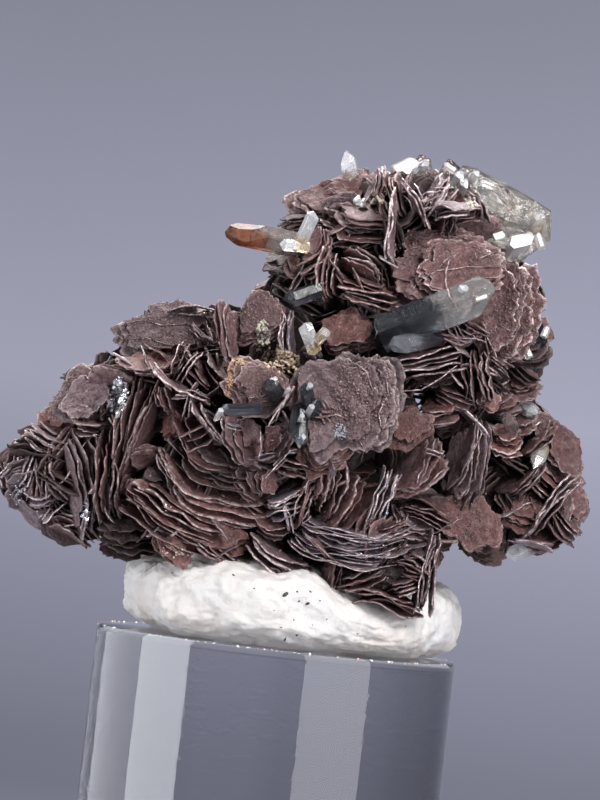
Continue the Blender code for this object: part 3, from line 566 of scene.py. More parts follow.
# Quads and triangles of a closed sheet: rings over its upper side, one round its rim, rings under it
def sheetFaces(points, rings):
    if (points, rings) in faceIndexes:
        return faceIndexes[points, rings]
    quads = []
    around = np.arange(points)
    after = (around + 1) % points
    for k in range(2 * rings):
        inner = 1 + k * points
        outer = inner + points
        quads.append(np.stack([inner + around, outer + around, outer + after, inner + after], 1))
    last = 1 + 2 * rings * points
    top = np.stack([np.zeros(points, int), 1 + around, 1 + after], 1)
    bottom = np.stack([np.full(points, last + points), last + after, last + around], 1)
    faceIndexes[points, rings] = (np.concatenate(quads), np.concatenate([top, bottom]))
    return faceIndexes[points, rings]


def ringsFor(half, lean, fine):
    if fine < 0.9:
        return ringShares["coarse"]
    if fine > 1.0:
        return ringShares["large" if half > sheets["largeHalf"] else "fine"]
    return ringShares["broad" if lean > 35 else "onEdge"]


def addSheet(heap, middle, axes, half, deep, shape, book, dice, fine):
    along, across, normal = [np.array(axis) for axis in axes]
    wanted = math.pi * (half + deep) / sheets["pointSpacing"] * fine
    points = int(min(sheets["mostPoints"], max(sheets["fewestPoints"], wanted)))
    shares = ringsFor(half, book.lean, fine)
    turns = np.linspace(0, math.tau, points, endpoint=False) + dice.uniform(0, 0.3)
    raggedness = 1.5 if book.half > 3 and book.lean > sheets["broadLean"] else 1.0
    rim = raggedRim(turns, half, shape["waves"], raggedness, dice)
    ruffle = sum(dice.gauss(0, 1) * np.cos(n * turns + dice.uniform(0, math.tau)) / n ** 0.5
                 for n in sheets["ruffleWaves"])
    ruffle = ruffle * sheets["ruffle"] * min(1.0, half / 2)
    thick = shape.get("thick", sheets["thickness"]) * dice.uniform(*sheets["thicknesses"])
    rings = [(share, 1.0) for share in shares] + [(1.0, 0.0)] + [(share, -1.0) for share in reversed(shares)]
    share = np.array([r for r, _ in rings])[:, None]
    side = np.array([s for _, s in rings])[:, None]
    u = np.concatenate([[0.0], (half * share * rim * np.cos(turns)).ravel(), [0.0]])
    v = np.concatenate([[0.0], (deep * share * rim * np.sin(turns)).ravel(), [0.0]])
    share = np.concatenate([[0.0], np.repeat(share.ravel(), points), [0.0]])
    side = np.concatenate([[1.0], np.repeat(side.ravel(), points), [-1.0]])
    ruffled = np.concatenate([[0.0], np.tile(ruffle, len(rings)), [0.0]])
    height = shape["curl"] * (u / half) ** 2 + share ** 3 * ruffled
    for size, ku, kv, start in shape["swell"]:
        height = height + size * np.sin(u * ku + v * kv + start)
    height = height + side * thick / 2 * (1 - sheets["rimThinning"] * share ** 4)
    place = np.array(middle) + np.outer(u, along) + np.outer(v, across) + np.outer(height, normal)
    red, steel, rimPale, bright = sheetTones[book.tone]
    # pale rim: partly wear, partly painted highlight where the rim catches the light
    edge = np.clip((share - sheets["paleFrom"]) / sheets["paleWidth"], 0, 1) ** 2 * rimPale
    glow = bright * dice.uniform(*sheets["glow"])
    flat = np.ones_like(edge)
    rimWearAndHighlight = dice.uniform(*sheets["rimWearAndHighlight"])
    redness = np.clip(red + dice.gauss(0, 0.15), 0, 1)
    steeliness = np.clip(steel + dice.gauss(0, 0.12), 0, 1)
    masks = np.stack([edge * rimWearAndHighlight, flat * redness, flat * steeliness, flat * glow], 1)
    quads, tris = sheetFaces(points, len(shares))
    addToHeap(heap, place, masks, share * half, quads, tris)


def addBook(heap, middle, book, dice, fine=1.0):
    broad = book.lean > sheets["broadLean"]
    fade = 0.7 if broad else 1
    waves = [(n, dice.uniform(0.4, 1.0) * sheets["unevenness"] / n ** fade, dice.uniform(0, math.tau))
             for n in sheets["unevenWaves"]]
    swell = []
    for wide in sheets["broadWaveWidths" if broad and book.half > 1.9 else "waveWidths"]:
        way = dice.uniform(0, math.tau)
        size = sheets["wave"] * dice.uniform(0.4, 1.0) * (wide / 2.6) ** 0.6 * min(1.0, book.half / 2)
        ku = math.cos(way) * math.tau / wide / 1.5
        kv = math.sin(way) * math.tau / wide / 1.5
        swell.append((size, ku, kv, dice.uniform(0, 6)))
    shape = {"waves": waves, "swell": swell, "curl": book.curl + dice.gauss(0, 0.06) * book.half}
    along, _, normal = sheetAxes(book.lie, book.lean)
    pivot = middle + along * (book.hinge * book.half)
    towardsViewer = -1 if normal.y > 0 else 1
    slip = sheets["slip"] * (sheets["slipOfSteps"] if book.step > sheets["wideStep"] else 1.0)
    for k in range(book.sheets):
        place = k - (book.sheets - 1) / 2
        lie = book.lie + book.fan * place + dice.gauss(0, sheets["tilt"])
        turned = sheetAxes(lie, book.lean + dice.gauss(0, sheets["tilt"]))
        size = dice.uniform(*sheets["sizes"])
        if dice.random() < sheets["brokenShare"]:
            size *= dice.uniform(*sheets["brokenSizes"])
        nearness = place * towardsViewer / max(1, book.sheets - 1) + 0.5
        centre = pivot - turned[0] * (book.hinge * book.half)
        centre += normal * ((place + dice.gauss(0, 0.2)) * book.pitch)
        if book.lean > 30:
            size *= 1 + book.step * (0.25 - nearness)
        if book.stepWay is not None:
            free = math.radians(book.stepWay)
            shift = turned[0] * (math.cos(free) * book.half) + turned[1] * (math.sin(free) * book.deep)
            centre -= shift * (book.step * (nearness - 0.25))
        centre += turned[0] * dice.gauss(0, slip) * book.half
        centre += turned[1] * dice.gauss(0, slip) * book.deep
        level = 1.3 if fine > 0.9 and book.lean > 35 and nearness > 0.6 else fine
        addSheet(heap, centre, turned, book.half * size, book.deep * size, shape, book, dice, level)


def spherePoints(count):
    golden = math.pi * (3 - math.sqrt(5))
    for k in range(count):
        height = 1 - 2 * (k + 0.5) / count
        ring = math.sqrt(1 - height * height)
        yield Vector((ring * math.cos(golden * k), ring * math.sin(golden * k), height))


def depthInLump(point, lump):
    middle, sizes = lump
    return math.sqrt(sum(((point[i] - middle[i]) / sizes[i]) ** 2 for i in range(3)))


def insideOutline(x, z):
    inside = False
    for (ax, az), (bx, bz) in zip(specimenOutline, specimenOutline[1:] + specimenOutline[:1]):
        if (az > z) != (bz > z) and x < ax + (bx - ax) * (z - az) / (bz - az):
            inside = not inside
    return inside


def bookFitsOutline(middle, book):
    along, across, _ = sheetAxes(book.lie, book.lean)
    arms = (along * book.half, along * -book.half, across * book.deep, across * -book.deep)
    return all(insideOutline((middle + arm).x, (middle + arm).z) for arm in arms)


unseen = {
    "tries": [12, 8, 7, 7, 4, 8, 11, 8, 8, 2, 0],
    "startsAtY": -0.2,
    "clearOfOthers": 0.9,   # no nearer to another lump than this share of its size
    "half": (1.9, 2.9),
    "deepToHalf": 0.85,
    "lean": 60,
    "sheets": 6,
    "pitch": (0.28, 0.36),
    "shifts": 12,
    "shift": 0.05,
    "seed": 13,
}
crust = {
    "perLump": [140, 60, 66, 60, 80, 74, 92, 74, 60, 28, 14],
    "clearOfOthers": 0.93,
    "half": (0.8, 1.5),
    "smallShare": 0.7,
    "largeHalf": (1.6, 2.5),
    "deepToHalf": 0.85,
    "sheets": 4,
    "pitch": 0.30,
    "frontAtY": 0.1,        # of a lump's own sphere
    "out": 0.97,
    "outInFront": 0.84,
    # share of front crust books made dark: painted shade in the gaps between the books
    "darkInFront": 0.5,
    "tones": ["mauve", "mauve", "mauve", "red", "grey", "dark"],
    "shifts": 10,
    "shift": 0.05,
}
blades = {
    "count": 170,
    "half": (0.6, 1.7),
    "deepToHalf": 0.4,
    "standOut": 0.15,
    "turn": (15, 70),       # degrees from the book that each is near
    "lean": (-15, 25),
    "pitch": 0.22,
    "tones": ["bright", "bright", "mauve", "steel"],
    "seed": 31,
}


# Single narrow sheets that stand across the gaps of the listed books
def bladeBooks(books):
    dice = random.Random(blades["seed"])
    for _ in range(blades["count"]):
        near = dice.choice(books)
        along, _, normal = sheetAxes(near.lie, near.lean)
        spot = bookMiddle(near) + along * (dice.uniform(-1, 1) * near.half)
        spot += normal * (dice.uniform(-0.7, 0.7) * near.pitch * near.sheets)
        spot.y = near.front - blades["standOut"] + dice.uniform(0.2, 1.6)
        half = dice.uniform(*blades["half"])
        deep = half * blades["deepToHalf"]
        lie = near.lie + dice.choice([-1, 1]) * dice.uniform(*blades["turn"])
        tone = dice.choice(blades["tones"])
        lean = dice.uniform(*blades["lean"])
        count = dice.choice([1, 1, 2])
        blade = Book(spot.x, spot.z, spot.y, lie, lean, half, deep, count, blades["pitch"], tone)
        if bookFitsOutline(spot, blade):
            yield spot + Vector((0, blade.deep, 0)), blade


def clearOfOthers(spot, lump, share):
    return all(depthInLump(spot, other) >= share for other in heartLumps if other is not lump)


# Where unseen books stand on the lumps of the heart: the same rule that the solids follow
def unseenBooks():
    dice = random.Random(unseen["seed"])
    for lump, tries in zip(heartLumps, unseen["tries"]):
        middle, sizes = lump
        for way in spherePoints(tries):
            half = dice.uniform(*unseen["half"])
            lie = dice.uniform(-90, 90)
            lean = dice.uniform(-unseen["lean"], unseen["lean"])
            pitch = dice.uniform(*unseen["pitch"])
            spot = Vector([middle[i] + way[i] * sizes[i] for i in range(3)])
            if way.y < unseen["startsAtY"] or not clearOfOthers(spot, lump, unseen["clearOfOthers"]):
                continue
            deep = half * unseen["deepToHalf"]
            book = Book(spot.x, spot.z, spot.y, lie, lean, half, deep, unseen["sheets"], pitch)
            shift = Vector((middle[0] - spot.x, 0.0, middle[2] - spot.z)) * unseen["shift"]
            spots = [spot + shift * k for k in range(unseen["shifts"])]
            fitting = [tried for tried in spots if bookFitsOutline(tried, book)]
            if fitting:
                yield fitting[0], book


# Small books between the others, all over the heart
def crustBooks(dice):
    for lump, tries in zip(heartLumps, crust["perLump"]):
        middle, sizes = lump
        for way in spherePoints(tries):
            half = dice.uniform(*crust["half" if dice.random() < crust["smallShare"] else "largeHalf"])
            flat = way.cross(Vector([dice.gauss(0, 1) for _ in range(3)])).normalized()
            flat = (flat + way * dice.gauss(0, 0.3)).normalized()
            lie = math.degrees(math.atan2(-flat.x, flat.z))
            lean = math.degrees(math.asin(-flat.y))
            tone = dice.choice(crust["tones"])
            inFront = way.y < crust["frontAtY"]
            # dark in front: painted shade between the books in front
            if inFront and dice.random() < crust["darkInFront"]:
                tone = "dark"
            out = crust["outInFront" if inFront else "out"]
            spot = Vector([middle[i] + way[i] * sizes[i] * out for i in range(3)])
            if not clearOfOthers(spot, lump, crust["clearOfOthers"]):
                continue
            deep = half * crust["deepToHalf"]
            book = Book(spot.x, spot.z, spot.y, lie, lean, half, deep, crust["sheets"], crust["pitch"], tone)
            for k in range(crust["shifts"]):
                tried = spot.lerp(Vector(middle), crust["shift"] * k)
                if bookFitsOutline(tried, book):
                    yield tried, book
                    break


def makeSheets():
    dice = random.Random(sheets["seed"])
    made = []
    fronts = {
        "sheets_left_lobe": leftLobeBooks + leftCapBooks,
        "sheets_lower_front": lowerFrontBooks + rosetteBooks,
        "sheets_right": lowerRightBooks + rightLobeBooks,
        "sheets_upper_lobe": upperLobeBooks,
    }
    for name, books in fronts.items():
        heap = newHeap()
        for book in books:
            addBook(heap, bookMiddle(book), book, dice)
        made.append(pieceFromHeap(name, heap, hematiteMaterial))
    heap = newHeap()
    for spot, book in bladeBooks([book for books in fronts.values() for book in books]):
        addBook(heap, spot, book, dice, 0.7)
    made.append(pieceFromHeap("sheets_blades", heap, hematiteMaterial))
    heap = newHeap()
    for spot, book in unseenBooks():
        addBook(heap, spot, book, dice, 0.8)
    made.append(pieceFromHeap("sheets_back", heap, hematiteMaterial))
    heaps = [newHeap(), newHeap()]
    for spot, book in crustBooks(dice):
        addBook(heaps[spot.z > 42], spot, book, dice, 0.6)
    made.append(pieceFromHeap("sheets_between_low", heaps[0], hematiteMaterial))
    made.append(pieceFromHeap("sheets_between_high", heaps[1], hematiteMaterial))
    return made


heart = {
    "scale": (0.70, 0.77, 0.72, 1.0),   # of the lumps, so that the books stand out of them
    "unevenness": 0.07,
    "mask": [0.0, 0.1, 0.1, 0.17],      # pale rim, red, steel and brightness; the low brightness is painted shade, so the heart reads as shade between the books
    "seed": 3,
}


def makeHeart():
    dice = random.Random(heart["seed"])
    shape = bmesh.new()
    for middle, sizes in heartLumps:
        halves = [size * share for size, share in zip((*sizes, 1.0), heart["scale"])]
        place = Matrix.Translation(middle) @ Matrix.Diagonal(halves)
        made = bmesh.ops.create_icosphere(shape, subdivisions=4, radius=1.0, matrix=place)
        for vert in made["verts"]:
            out = (vert.co - Vector(middle)).normalized()
            vert.co += out * dice.gauss(0, heart["unevenness"])
    shape.transform(Matrix.Scale(mm, 4))
    piece = linkShape("massive_heart", shape, hematiteMaterial)
    masks = piece.data.attributes.new("sheetMask", "FLOAT_COLOR", "POINT")
    masks.data.foreach_set("color", np.tile(heart["mask"], len(piece.data.vertices)).astype(np.float32))
    return piece


def settle(piece, slot, *nodes):
    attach(piece, "root")
    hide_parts(*nodes)


for piece in makeSheets() + [makeHeart()]:
    settle(piece, "hematite", "hematite_cluster")
print("the hematite is made")


# Small things on the surface, placed from the front and set down on what lies there

# Each patch: what it is made of, middle x and z, half width and height, number, sizes, and colour,
# or for crumbs of hematite their rim, red and steel shares
Patch = namedtuple("Patch", "kind x z wide high count sizes colour")

patches = [
    Patch("grains", -1.75, 44.4, 1.3, 0.8, 170, (0.06, 0.17), (0.62, 0.47, 0.33)),
    Patch("grains", -2.1, 45.2, 0.9, 0.4, 40, (0.06, 0.13), (0.42, 0.34, 0.26)),
    Patch("grains", -5.15, 42.7, 0.22, 1.5, 90, (0.05, 0.11), (0.55, 0.34, 0.18)),
    Patch("grains", -4.6, 44.0, 0.5, 0.25, 20, (0.06, 0.12), (0.60, 0.42, 0.25)),
    Patch("grains", -3.3, 45.9, 0.5, 1.1, 70, (0.07, 0.17), (0.46, 0.43, 0.35)),
    Patch("grains", 2.65, 40.1, 0.45, 0.55, 60, (0.05, 0.12), (0.34, 0.36, 0.40)),
    Patch("grains", 2.3, 55.9, 0.35, 0.4, 10, (0.18, 0.36), (0.80, 0.79, 0.78)),
    Patch("grains", 3.4, 56.1, 0.5, 0.3, 26, (0.10, 0.22), (0.62, 0.55, 0.44)),
    Patch("grains", 9.9, 56.6, 0.4, 0.7, 30, (0.07, 0.16), (0.56, 0.50, 0.40)),
    Patch("grains", -7.2, 30.6, 1.6, 0.4, 26, (0.05, 0.12), (0.50, 0.38, 0.36)),
    Patch("grains", 4.0, 43.2, 1.8, 2.6, 90, (0.05, 0.12), (0.34, 0.25, 0.25)),
    Patch("crumbs", 3.9, 42.4, 2.2, 3.2, 600, (0.06, 0.17), (0.2, 0.2, 0.2)),
    Patch("crumbs", 8.3, 53.0, 3.6, 1.9, 280, (0.05, 0.14), (0.3, 0.2, 0.1)),
    Patch("crumbs", 13.4, 49.6, 1.9, 3.0, 320, (0.05, 0.14), (0.3, 0.2, 0.1)),
    Patch("crumbs", -10.0, 45.2, 3.3, 1.8, 340, (0.05, 0.14), (0.2, 0.2, 0.2)),
    Patch("crumbs", -15.0, 40.3, 2.2, 2.0, 300, (0.05, 0.13), (0.3, 0.2, 0.2)),
    Patch("crumbs", 12.4, 35.2, 2.2, 2.4, 200, (0.04, 0.11), (0.3, 0.8, 0.0)),
    Patch("crumbs", -3.3, 42.4, 1.9, 1.5, 200, (0.05, 0.12), (0.2, 0.3, 0.1)),
    Patch("crumbs", -3.4, 47.2, 1.8, 1.4, 200, (0.05, 0.12), (0.3, 0.3, 0.1)),
    Patch("crumbs", 1.0, 33.5, 14.0, 3.5, 360, (0.04, 0.11), (0.4, 0.2, 0.4)),
    Patch("crumbs", 2.0, 46.5, 12.0, 8.0, 360, (0.04, 0.11), (0.4, 0.2, 0.4)),
    Patch("flakes", -12.7, 40.7, 0.62, 1.45, 200, (0.10, 0.28), (0.93, 0.95, 1.0)),
    Patch("flakes", -14.0, 32.7, 0.35, 0.9, 22, (0.10, 0.24), (0.75, 0.77, 0.85)),
    Patch("flakes", -18.9, 33.2, 0.6, 0.8, 26, (0.08, 0.2), (0.55, 0.55, 0.62)),
    Patch("flakes", -16.9, 36.8, 0.3, 0.15, 5, (0.08, 0.14), (0.9, 0.88, 0.88)),
    Patch("flakes", -14.0, 37.9, 0.2, 0.15, 5, (0.10, 0.16), (0.9, 0.9, 0.9)),
    Patch("flakes", -8.4, 33.6, 0.35, 0.3, 9, (0.06, 0.14), (0.9, 0.88, 0.88)),
    Patch("flakes", 3.9, 32.4, 3.2, 0.9, 46, (0.06, 0.15), (0.55, 0.55, 0.64)),
    Patch("flakes", 6.4, 35.5, 0.5, 1.6, 20, (0.06, 0.16), (0.50, 0.54, 0.66)),
    Patch("flakes", 1.4, 35.0, 0.3, 0.4, 8, (0.08, 0.16), (0.8, 0.82, 0.88)),
]
# Thin curved rims that stand out pale, partly wear and partly painted highlight where they catch the light:
# points along them, the y of their edge or nothing where they follow the surface, and their half thickness
paleRims = [
    ([(9.3, 53.1), (8.75, 52.45), (8.6, 51.7), (8.7, 50.8), (9.0, 50.0), (9.6, 49.25)], None, 0.065),
    ([(-9.8, 47.0), (-9.0, 47.35), (-8.0, 47.5), (-6.9, 47.35)], -5.4, 0.11),
    ([(-1.0, 42.6), (-1.3, 41.7), (-1.9, 40.6), (-2.2, 39.9)], -12.0, 0.07),
    ([(-2.7, 39.6), (-2.5, 38.4), (-2.6, 37.7)], -11.6, 0.05),
    ([(-0.5, 38.5), (-1.2, 37.5), (-2.0, 36.4)], -11.6, 0.06),
    ([(6.5, 50.3), (7.0, 51.0), (8.0, 51.7), (9.0, 51.9), (10.0, 52.2), (11.4, 52.3), (12.7, 52.5)],
     None, 0.05),
    ([(8.0, 51.8), (8.6, 52.6), (9.4, 53.1)], None, 0.035),
    ([(10.5, 53.2), (10.6, 52.75), (11.2, 53.1), (11.9, 53.5)], None, 0.045),
    ([(7.3, 54.2), (8.2, 54.4), (9.2, 54.35), (9.9, 54.1)], None, 0.035),
    ([(5.2, 52.2), (5.9, 53.0), (6.9, 53.3)], None, 0.03),
    ([(13.2, 51.6), (14.0, 51.0), (14.7, 50.9)], None, 0.035),
    ([(12.6, 48.6), (13.5, 48.2), (14.5, 48.4)], None, 0.03),
    ([(-12.8, 45.8), (-11.6, 46.15), (-10.2, 45.9), (-8.6, 46.2), (-7.2, 45.9)], None, 0.04),
    ([(-12.4, 44.7), (-11.2, 44.95), (-9.6, 44.6), (-8.4, 44.75)], None, 0.035),
    ([(5.3, 44.2), (5.6, 43.0), (5.1, 41.6), (5.5, 40.4)], None, 0.035),
    ([(3.0, 44.9), (4.0, 44.3), (4.5, 43.2)], None, 0.03),
    ([(1.4, 40.9), (2.3, 41.2), (3.2, 40.9)], None, 0.06),
    ([(3.9, 39.8), (4.5, 39.0), (4.3, 38.2)], None, 0.04),
    ([(6.2, 43.2), (7.8, 43.5), (9.0, 44.4), (10.0, 45.4)], -9.6, 0.07),
]
smallThings = {
    "flakeHalfThickness": 0.03,
    "standOut": {"grains": 0.3, "crumbs": 0.0, "flakes": 0.3},
    "backLimit": 2,         # y behind which nothing is set down
    "crowding": 0.6,        # 0.5 spreads them evenly over their patch, more crowds its middle
    "seed": 17,
}
rims = {
    "step": 0.15,           # between points along a rim
    "standOut": 0.1,
    "depth": (0.5, 1.4),    # least and most from the edge back into the surface
    "edgeMask": [1.0, 0.3, 0.5, 1.25],      # pale rim, red, steel and brightness: painted highlight, partly pale wear
    "backMask": [0.0, 0.3, 0.1, 0.8],
    "seed": 4,
}
# Dark crumbs pressed into the putty: x, z and half width
puttyCrumbs = [
    (0.3, 28.7, 0.34), (1.8, 28.3, 0.2), (1.0, 29.0, 0.14), (0.55, 25.7, 0.16), (1.3, 26.1, 0.12),
    (1.0, 27.1, 0.1), (1.9, 29.1, 0.14), (2.6, 28.6, 0.08), (-0.4, 27.6, 0.07), (3.2, 27.4, 0.07),
    (0.2, 26.5, 0.08), (-7.6, 29.2, 0.09), (5.4, 26.6, 0.08), (-3.4, 29.6, 0.15), (8.6, 27.4, 0.07),
    (2.3, 26.9, 0.07), (-1.9, 28.9, 0.07), (1.2, 28.4, 0.09),
]


def flatMaterial(name, metallic, roughness):
    material, tree, shader = newMaterial(name, Metallic=metallic, Roughness=roughness)
    mask = addNode(tree, "Attribute", attribute_name="sheetMask").outputs["Color"]
    tree.links.new(mask, shader.inputs["Base Color"])
    grain = useGroup(tree, grainGroup, Fineness=1.6)
    addBump(tree, shader, grain["Height"], 0.05, 0.5)
    return material


grainMaterial = flatMaterial("mineralGrains", 0.0, 0.3)
flakeMaterial = flatMaterial("brightFlakes", 0.8, 0.22)


def lumpArrays():
    shape = bmesh.new()
    bmesh.ops.create_icosphere(shape, subdivisions=1, radius=1.0)
    shape.verts.ensure_lookup_table()
    points = np.array([vert.co for vert in shape.verts])
    tris = np.array([[vert.index for vert in face.verts] for face in shape.faces])
    shape.free()
    return points, tris


lumpPoints, lumpTris = lumpArrays()
noQuads = np.zeros((0, 4), int)


def addLump(heap, middle, sizes, colour, dice):
    turn = np.array(Matrix.Rotation(dice.uniform(0, 6), 3, Vector([dice.gauss(0, 1) for _ in range(3)])))
    uneven = np.array([[dice.uniform(0.8, 1.15)] for _ in lumpPoints])
    points = (lumpPoints * uneven * np.array(sizes)) @ turn + np.array(middle)
    shade = dice.uniform(0.65, 1.2)
    masks = np.tile([min(1.0, c * shade) for c in colour] + [1.0], (len(points), 1))
    addToHeap(heap, points, masks, np.zeros(len(points)), noQuads, lumpTris)


# First surface met from the front at some x and z, and the piece it is on
def frontAt(x, z):
    hit, place, _, _, piece, _ = bpy.context.scene.ray_cast(
        bpy.context.evaluated_depsgraph_get(), Vector((x, -60, z)) * mm, Vector((0, 1, 0)))
    return (place / mm, piece.name) if hit else (None, "")


def makePatches():
    dice = random.Random(smallThings["seed"])
    heaps = {"grains": newHeap(), "flakes": newHeap(), "crumbs": newHeap()}
    spots = []
    for patch in patches:
        for _ in range(patch.count):
            angle, far = dice.uniform(0, math.tau), dice.uniform(0, 1) ** smallThings["crowding"]
            x = patch.x + patch.wide * far * math.cos(angle)
            z = patch.z + patch.high * far * math.sin(angle)
            spot, met = frontAt(x, z)
            size = dice.uniform(*patch.sizes)
            thin = smallThings["flakeHalfThickness"] if patch.kind == "flakes" else size * 0.7
            sizes = (size, size * 0.8, thin)
            out = smallThings["standOut"][patch.kind]
            onQuartz = patch.kind == "crumbs" and met.startswith("quartz")
            if spot is None or spot.y > smallThings["backLimit"] or onQuartz:
                continue
            spots.append((patch.kind, spot - Vector((0, out * size, 0)), sizes, patch.colour))
    for kind, spot, sizes, colour in spots:
        addLump(heaps[kind], spot, sizes, colour, dice)
    grains = pieceFromHeap("mineral_grains", heaps["grains"], grainMaterial)
    flakes = pieceFromHeap("bright_flakes", heaps["flakes"], flakeMaterial)
    crumbs = pieceFromHeap("hematite_crumbs", heaps["crumbs"], hematiteMaterial)
    for piece, slot in ((grains, "quartz_stained"), (flakes, "hematite"), (crumbs, "hematite")):
        piece.data.shade_flat()
        settle(piece, slot, "hematite_cluster")


def makePaleRims():
    dice = random.Random(rims["seed"])
    heap = newHeap()
    least, most = rims["depth"]
    for points, edge, half in paleRims:
        fine = []
        for (ax, az), (bx, bz) in zip(points, points[1:]):
            steps = max(2, int(math.hypot(bx - ax, bz - az) / rims["step"]))
            fine += [(ax + (bx - ax) * k / steps, az + (bz - az) * k / steps) for k in range(steps)]
        fine.append(points[-1])
        rows = []
        for k, (x, z) in enumerate(fine):
            part = min(1, max(0.06, k / (len(fine) - 1) * 0.94))
            thin = half * (0.35 + 0.65 * math.sin(math.pi * part))
            stray = dice.gauss(0, 0.015)
            spot, _ = frontAt(x, z)
            y = spot.y - rims["standOut"] + dice.gauss(0, 0.02) if edge is None else edge
            back = y + 0.9 if spot is None else min(y + most, max(y + least, spot.y + 0.2))
            rows.append([(x - thin + stray, y, z), (x + stray, y - 0.8 * thin, z + thin),
                         (x + thin + stray, y, z), (x + stray, back, z - thin)])
        points = np.array(rows).reshape(-1, 3)
        around = np.arange(4)
        after = (around + 1) % 4
        quads = np.concatenate([np.stack([around, after, after + 4, around + 4], 1) + 4 * k
                                for k in range(len(rows) - 1)])
        last = len(points) - 4
        ends = np.array([[0, 2, 1], [0, 3, 2], [last, last + 1, last + 2], [last, last + 2, last + 3]])
        masks = np.tile([rims["edgeMask"]] * 3 + [rims["backMask"]], (len(rows), 1))
        addToHeap(heap, points, masks, np.zeros(len(points)), quads, ends)
    settle(pieceFromHeap("pale_rims", heap, hematiteMaterial), "hematite", "hematite_cluster")


makePatches()
makePaleRims()
print("the small things are set down")


# Quartz

# Six-sided prisms from a root to a tip. point is the length of the pointed end, and spin turns the
# prism's faces about its axis, in degrees.
Crystal = namedtuple("Crystal", "root tip radius point spin")

crystals = {
    "quartz_top_cluster": [
        Crystal((8.6, 1.2, 58.0), (16.1, 0.2, 54.9), 1.95, 1.5, 12),
        Crystal((10.4, 0.6, 54.9), (14.5, -1.8, 54.7), 0.85, 0.6, 25),
        Crystal((14.9, -0.4, 54.8), (13.0, -1.2, 53.0), 0.6, 0.5, 5),
        Crystal((8.4, 0.6, 57.6), (4.6, 0.2, 59.1), 0.65, 0.7, 20),
        Crystal((7.0, 1.2, 57.0), (6.0, 0.8, 60.0), 0.85, 0.8, 0),
        Crystal((8.6, 1.6, 57.0), (8.2, 0.8, 59.9), 0.9, 0.9, 30),
        Crystal((10.0, 1.2, 57.0), (10.3, 0.4, 59.4), 1.1, 0.9, 15),
        Crystal((9.6, 0.0, 57.6), (9.0, -2.0, 58.1), 0.6, 0.5, 40),
        Crystal((9.6, 2.4, 57.4), (12.6, 4.2, 58.0), 1.3, 1.2, 35),
    ],
    "quartz_smoky_pair": [
        Crystal((4.7, -7.6, 47.0), (12.7, -9.6, 51.2), 1.48, 1.7, 8),
    ],
    "quartz_stained": [Crystal((-1.4, -3.9, 52.4), (-6.8, -5.0, 52.8), 1.05, 0.5, 14)],
    "quartz_left_pair": [
        Crystal((-1.6, -6.0, 52.2), (-0.7, -6.7, 54.8), 0.46, 0.3, 0),
        Crystal((-0.9, -5.9, 52.3), (-2.9, -6.7, 52.3), 0.45, 0.35, 20),
    ],
    "quartz_top_small": [Crystal((1.8, -1.0, 57.0), (0.8, -1.6, 59.5), 0.66, 0.95, 22)],
    "quartz_smoky_right": [Crystal((14.7, -0.8, 45.6), (15.8, -2.0, 49.5), 1.1, 1.4, 10)],
    "quartz_right_small": [Crystal((14.4, -1.6, 43.7), (16.1, -3.4, 42.7), 0.55, 0.5, 0)],
    "quartz_right_inner": [Crystal((14.6, -3.2, 41.4), (13.9, -5.4, 42.5), 0.5, 0.5, 25)],
    "quartz_right_glint": [Crystal((16.7, -3.2, 40.5), (16.2, -5.0, 38.8), 0.55, 1.1, 34)],
    "quartz_low_right": [Crystal((17.2, -1.5, 34.0), (15.0, -3.2, 32.7), 0.68, 0.8, 15)],
    "quartz_notch_dark": [Crystal((0.1, -6.2, 49.5), (-2.1, -7.6, 48.4), 0.66, 0.5, 0)],
    "quartz_middle_pair": [
        Crystal((0.3, -8.2, 45.4), (-0.6, -9.8, 47.1), 0.6, 0.5, 10),
        Crystal((0.3, -8.6, 45.8), (1.1, -9.8, 46.9), 0.42, 0.35, 30),
    ],
    "quartz_rosette_upright": [
        Crystal((-0.1, -10.6, 41.5), (0.1, -12.1, 38.8), 0.50, 0.4, 0),
        Crystal((-0.5, -10.6, 41.4), (-0.5, -12.0, 39.4), 0.36, 0.4, 20),
        Crystal((0.6, -10.6, 41.0), (-0.1, -12.1, 43.2), 0.50, 0.6, 22),
        Crystal((0.9, -10.6, 40.8), (0.9, -12.2, 42.2), 0.36, 0.4, 0),
    ],
    "quartz_rosette_black": [Crystal((-1.5, -10.2, 41.7), (-2.6, -12.0, 43.0), 0.66, 0.5, 12)],
    "quartz_rosette_left": [Crystal((-2.9, -10.8, 41.0), (-5.5, -12.0, 40.6), 0.52, 0.35, 8)],
}

towardsKeyLight = Vector((0.166, -0.906, 0.387))   # halfway between the camera and the key light
glintDepth = 1.4    # mm from a glint's tip to its root, besides its radius


# A small crystal with its blunt end to the light
def facingLight(x, y, z, radius, spin):
    tip = Vector((x, y, z))
    return Crystal(tip - towardsKeyLight * (glintDepth + radius), tip, radius, 0.05, spin)


# A small prism with one long face to the light, lying at an angle above X
def lyingInLight(x, y, z, radius, length, lie):
    flat = Vector((math.cos(math.radians(lie)), 0.0, math.sin(math.radians(lie))))
    axis = (flat - towardsKeyLight * flat.dot(towardsKeyLight)).normalized()
    side = Vector((0, 0, 1)).cross(axis).normalized()
    turn = math.atan2(towardsKeyLight.dot(axis.cross(side)), towardsKeyLight.dot(side))
    middle = Vector((x, y, z)) - towardsKeyLight * radius * 0.8
    arm = axis * length / 2
    return Crystal(middle - arm, middle + arm, radius, 0.8 * radius, math.degrees(turn) - 30)


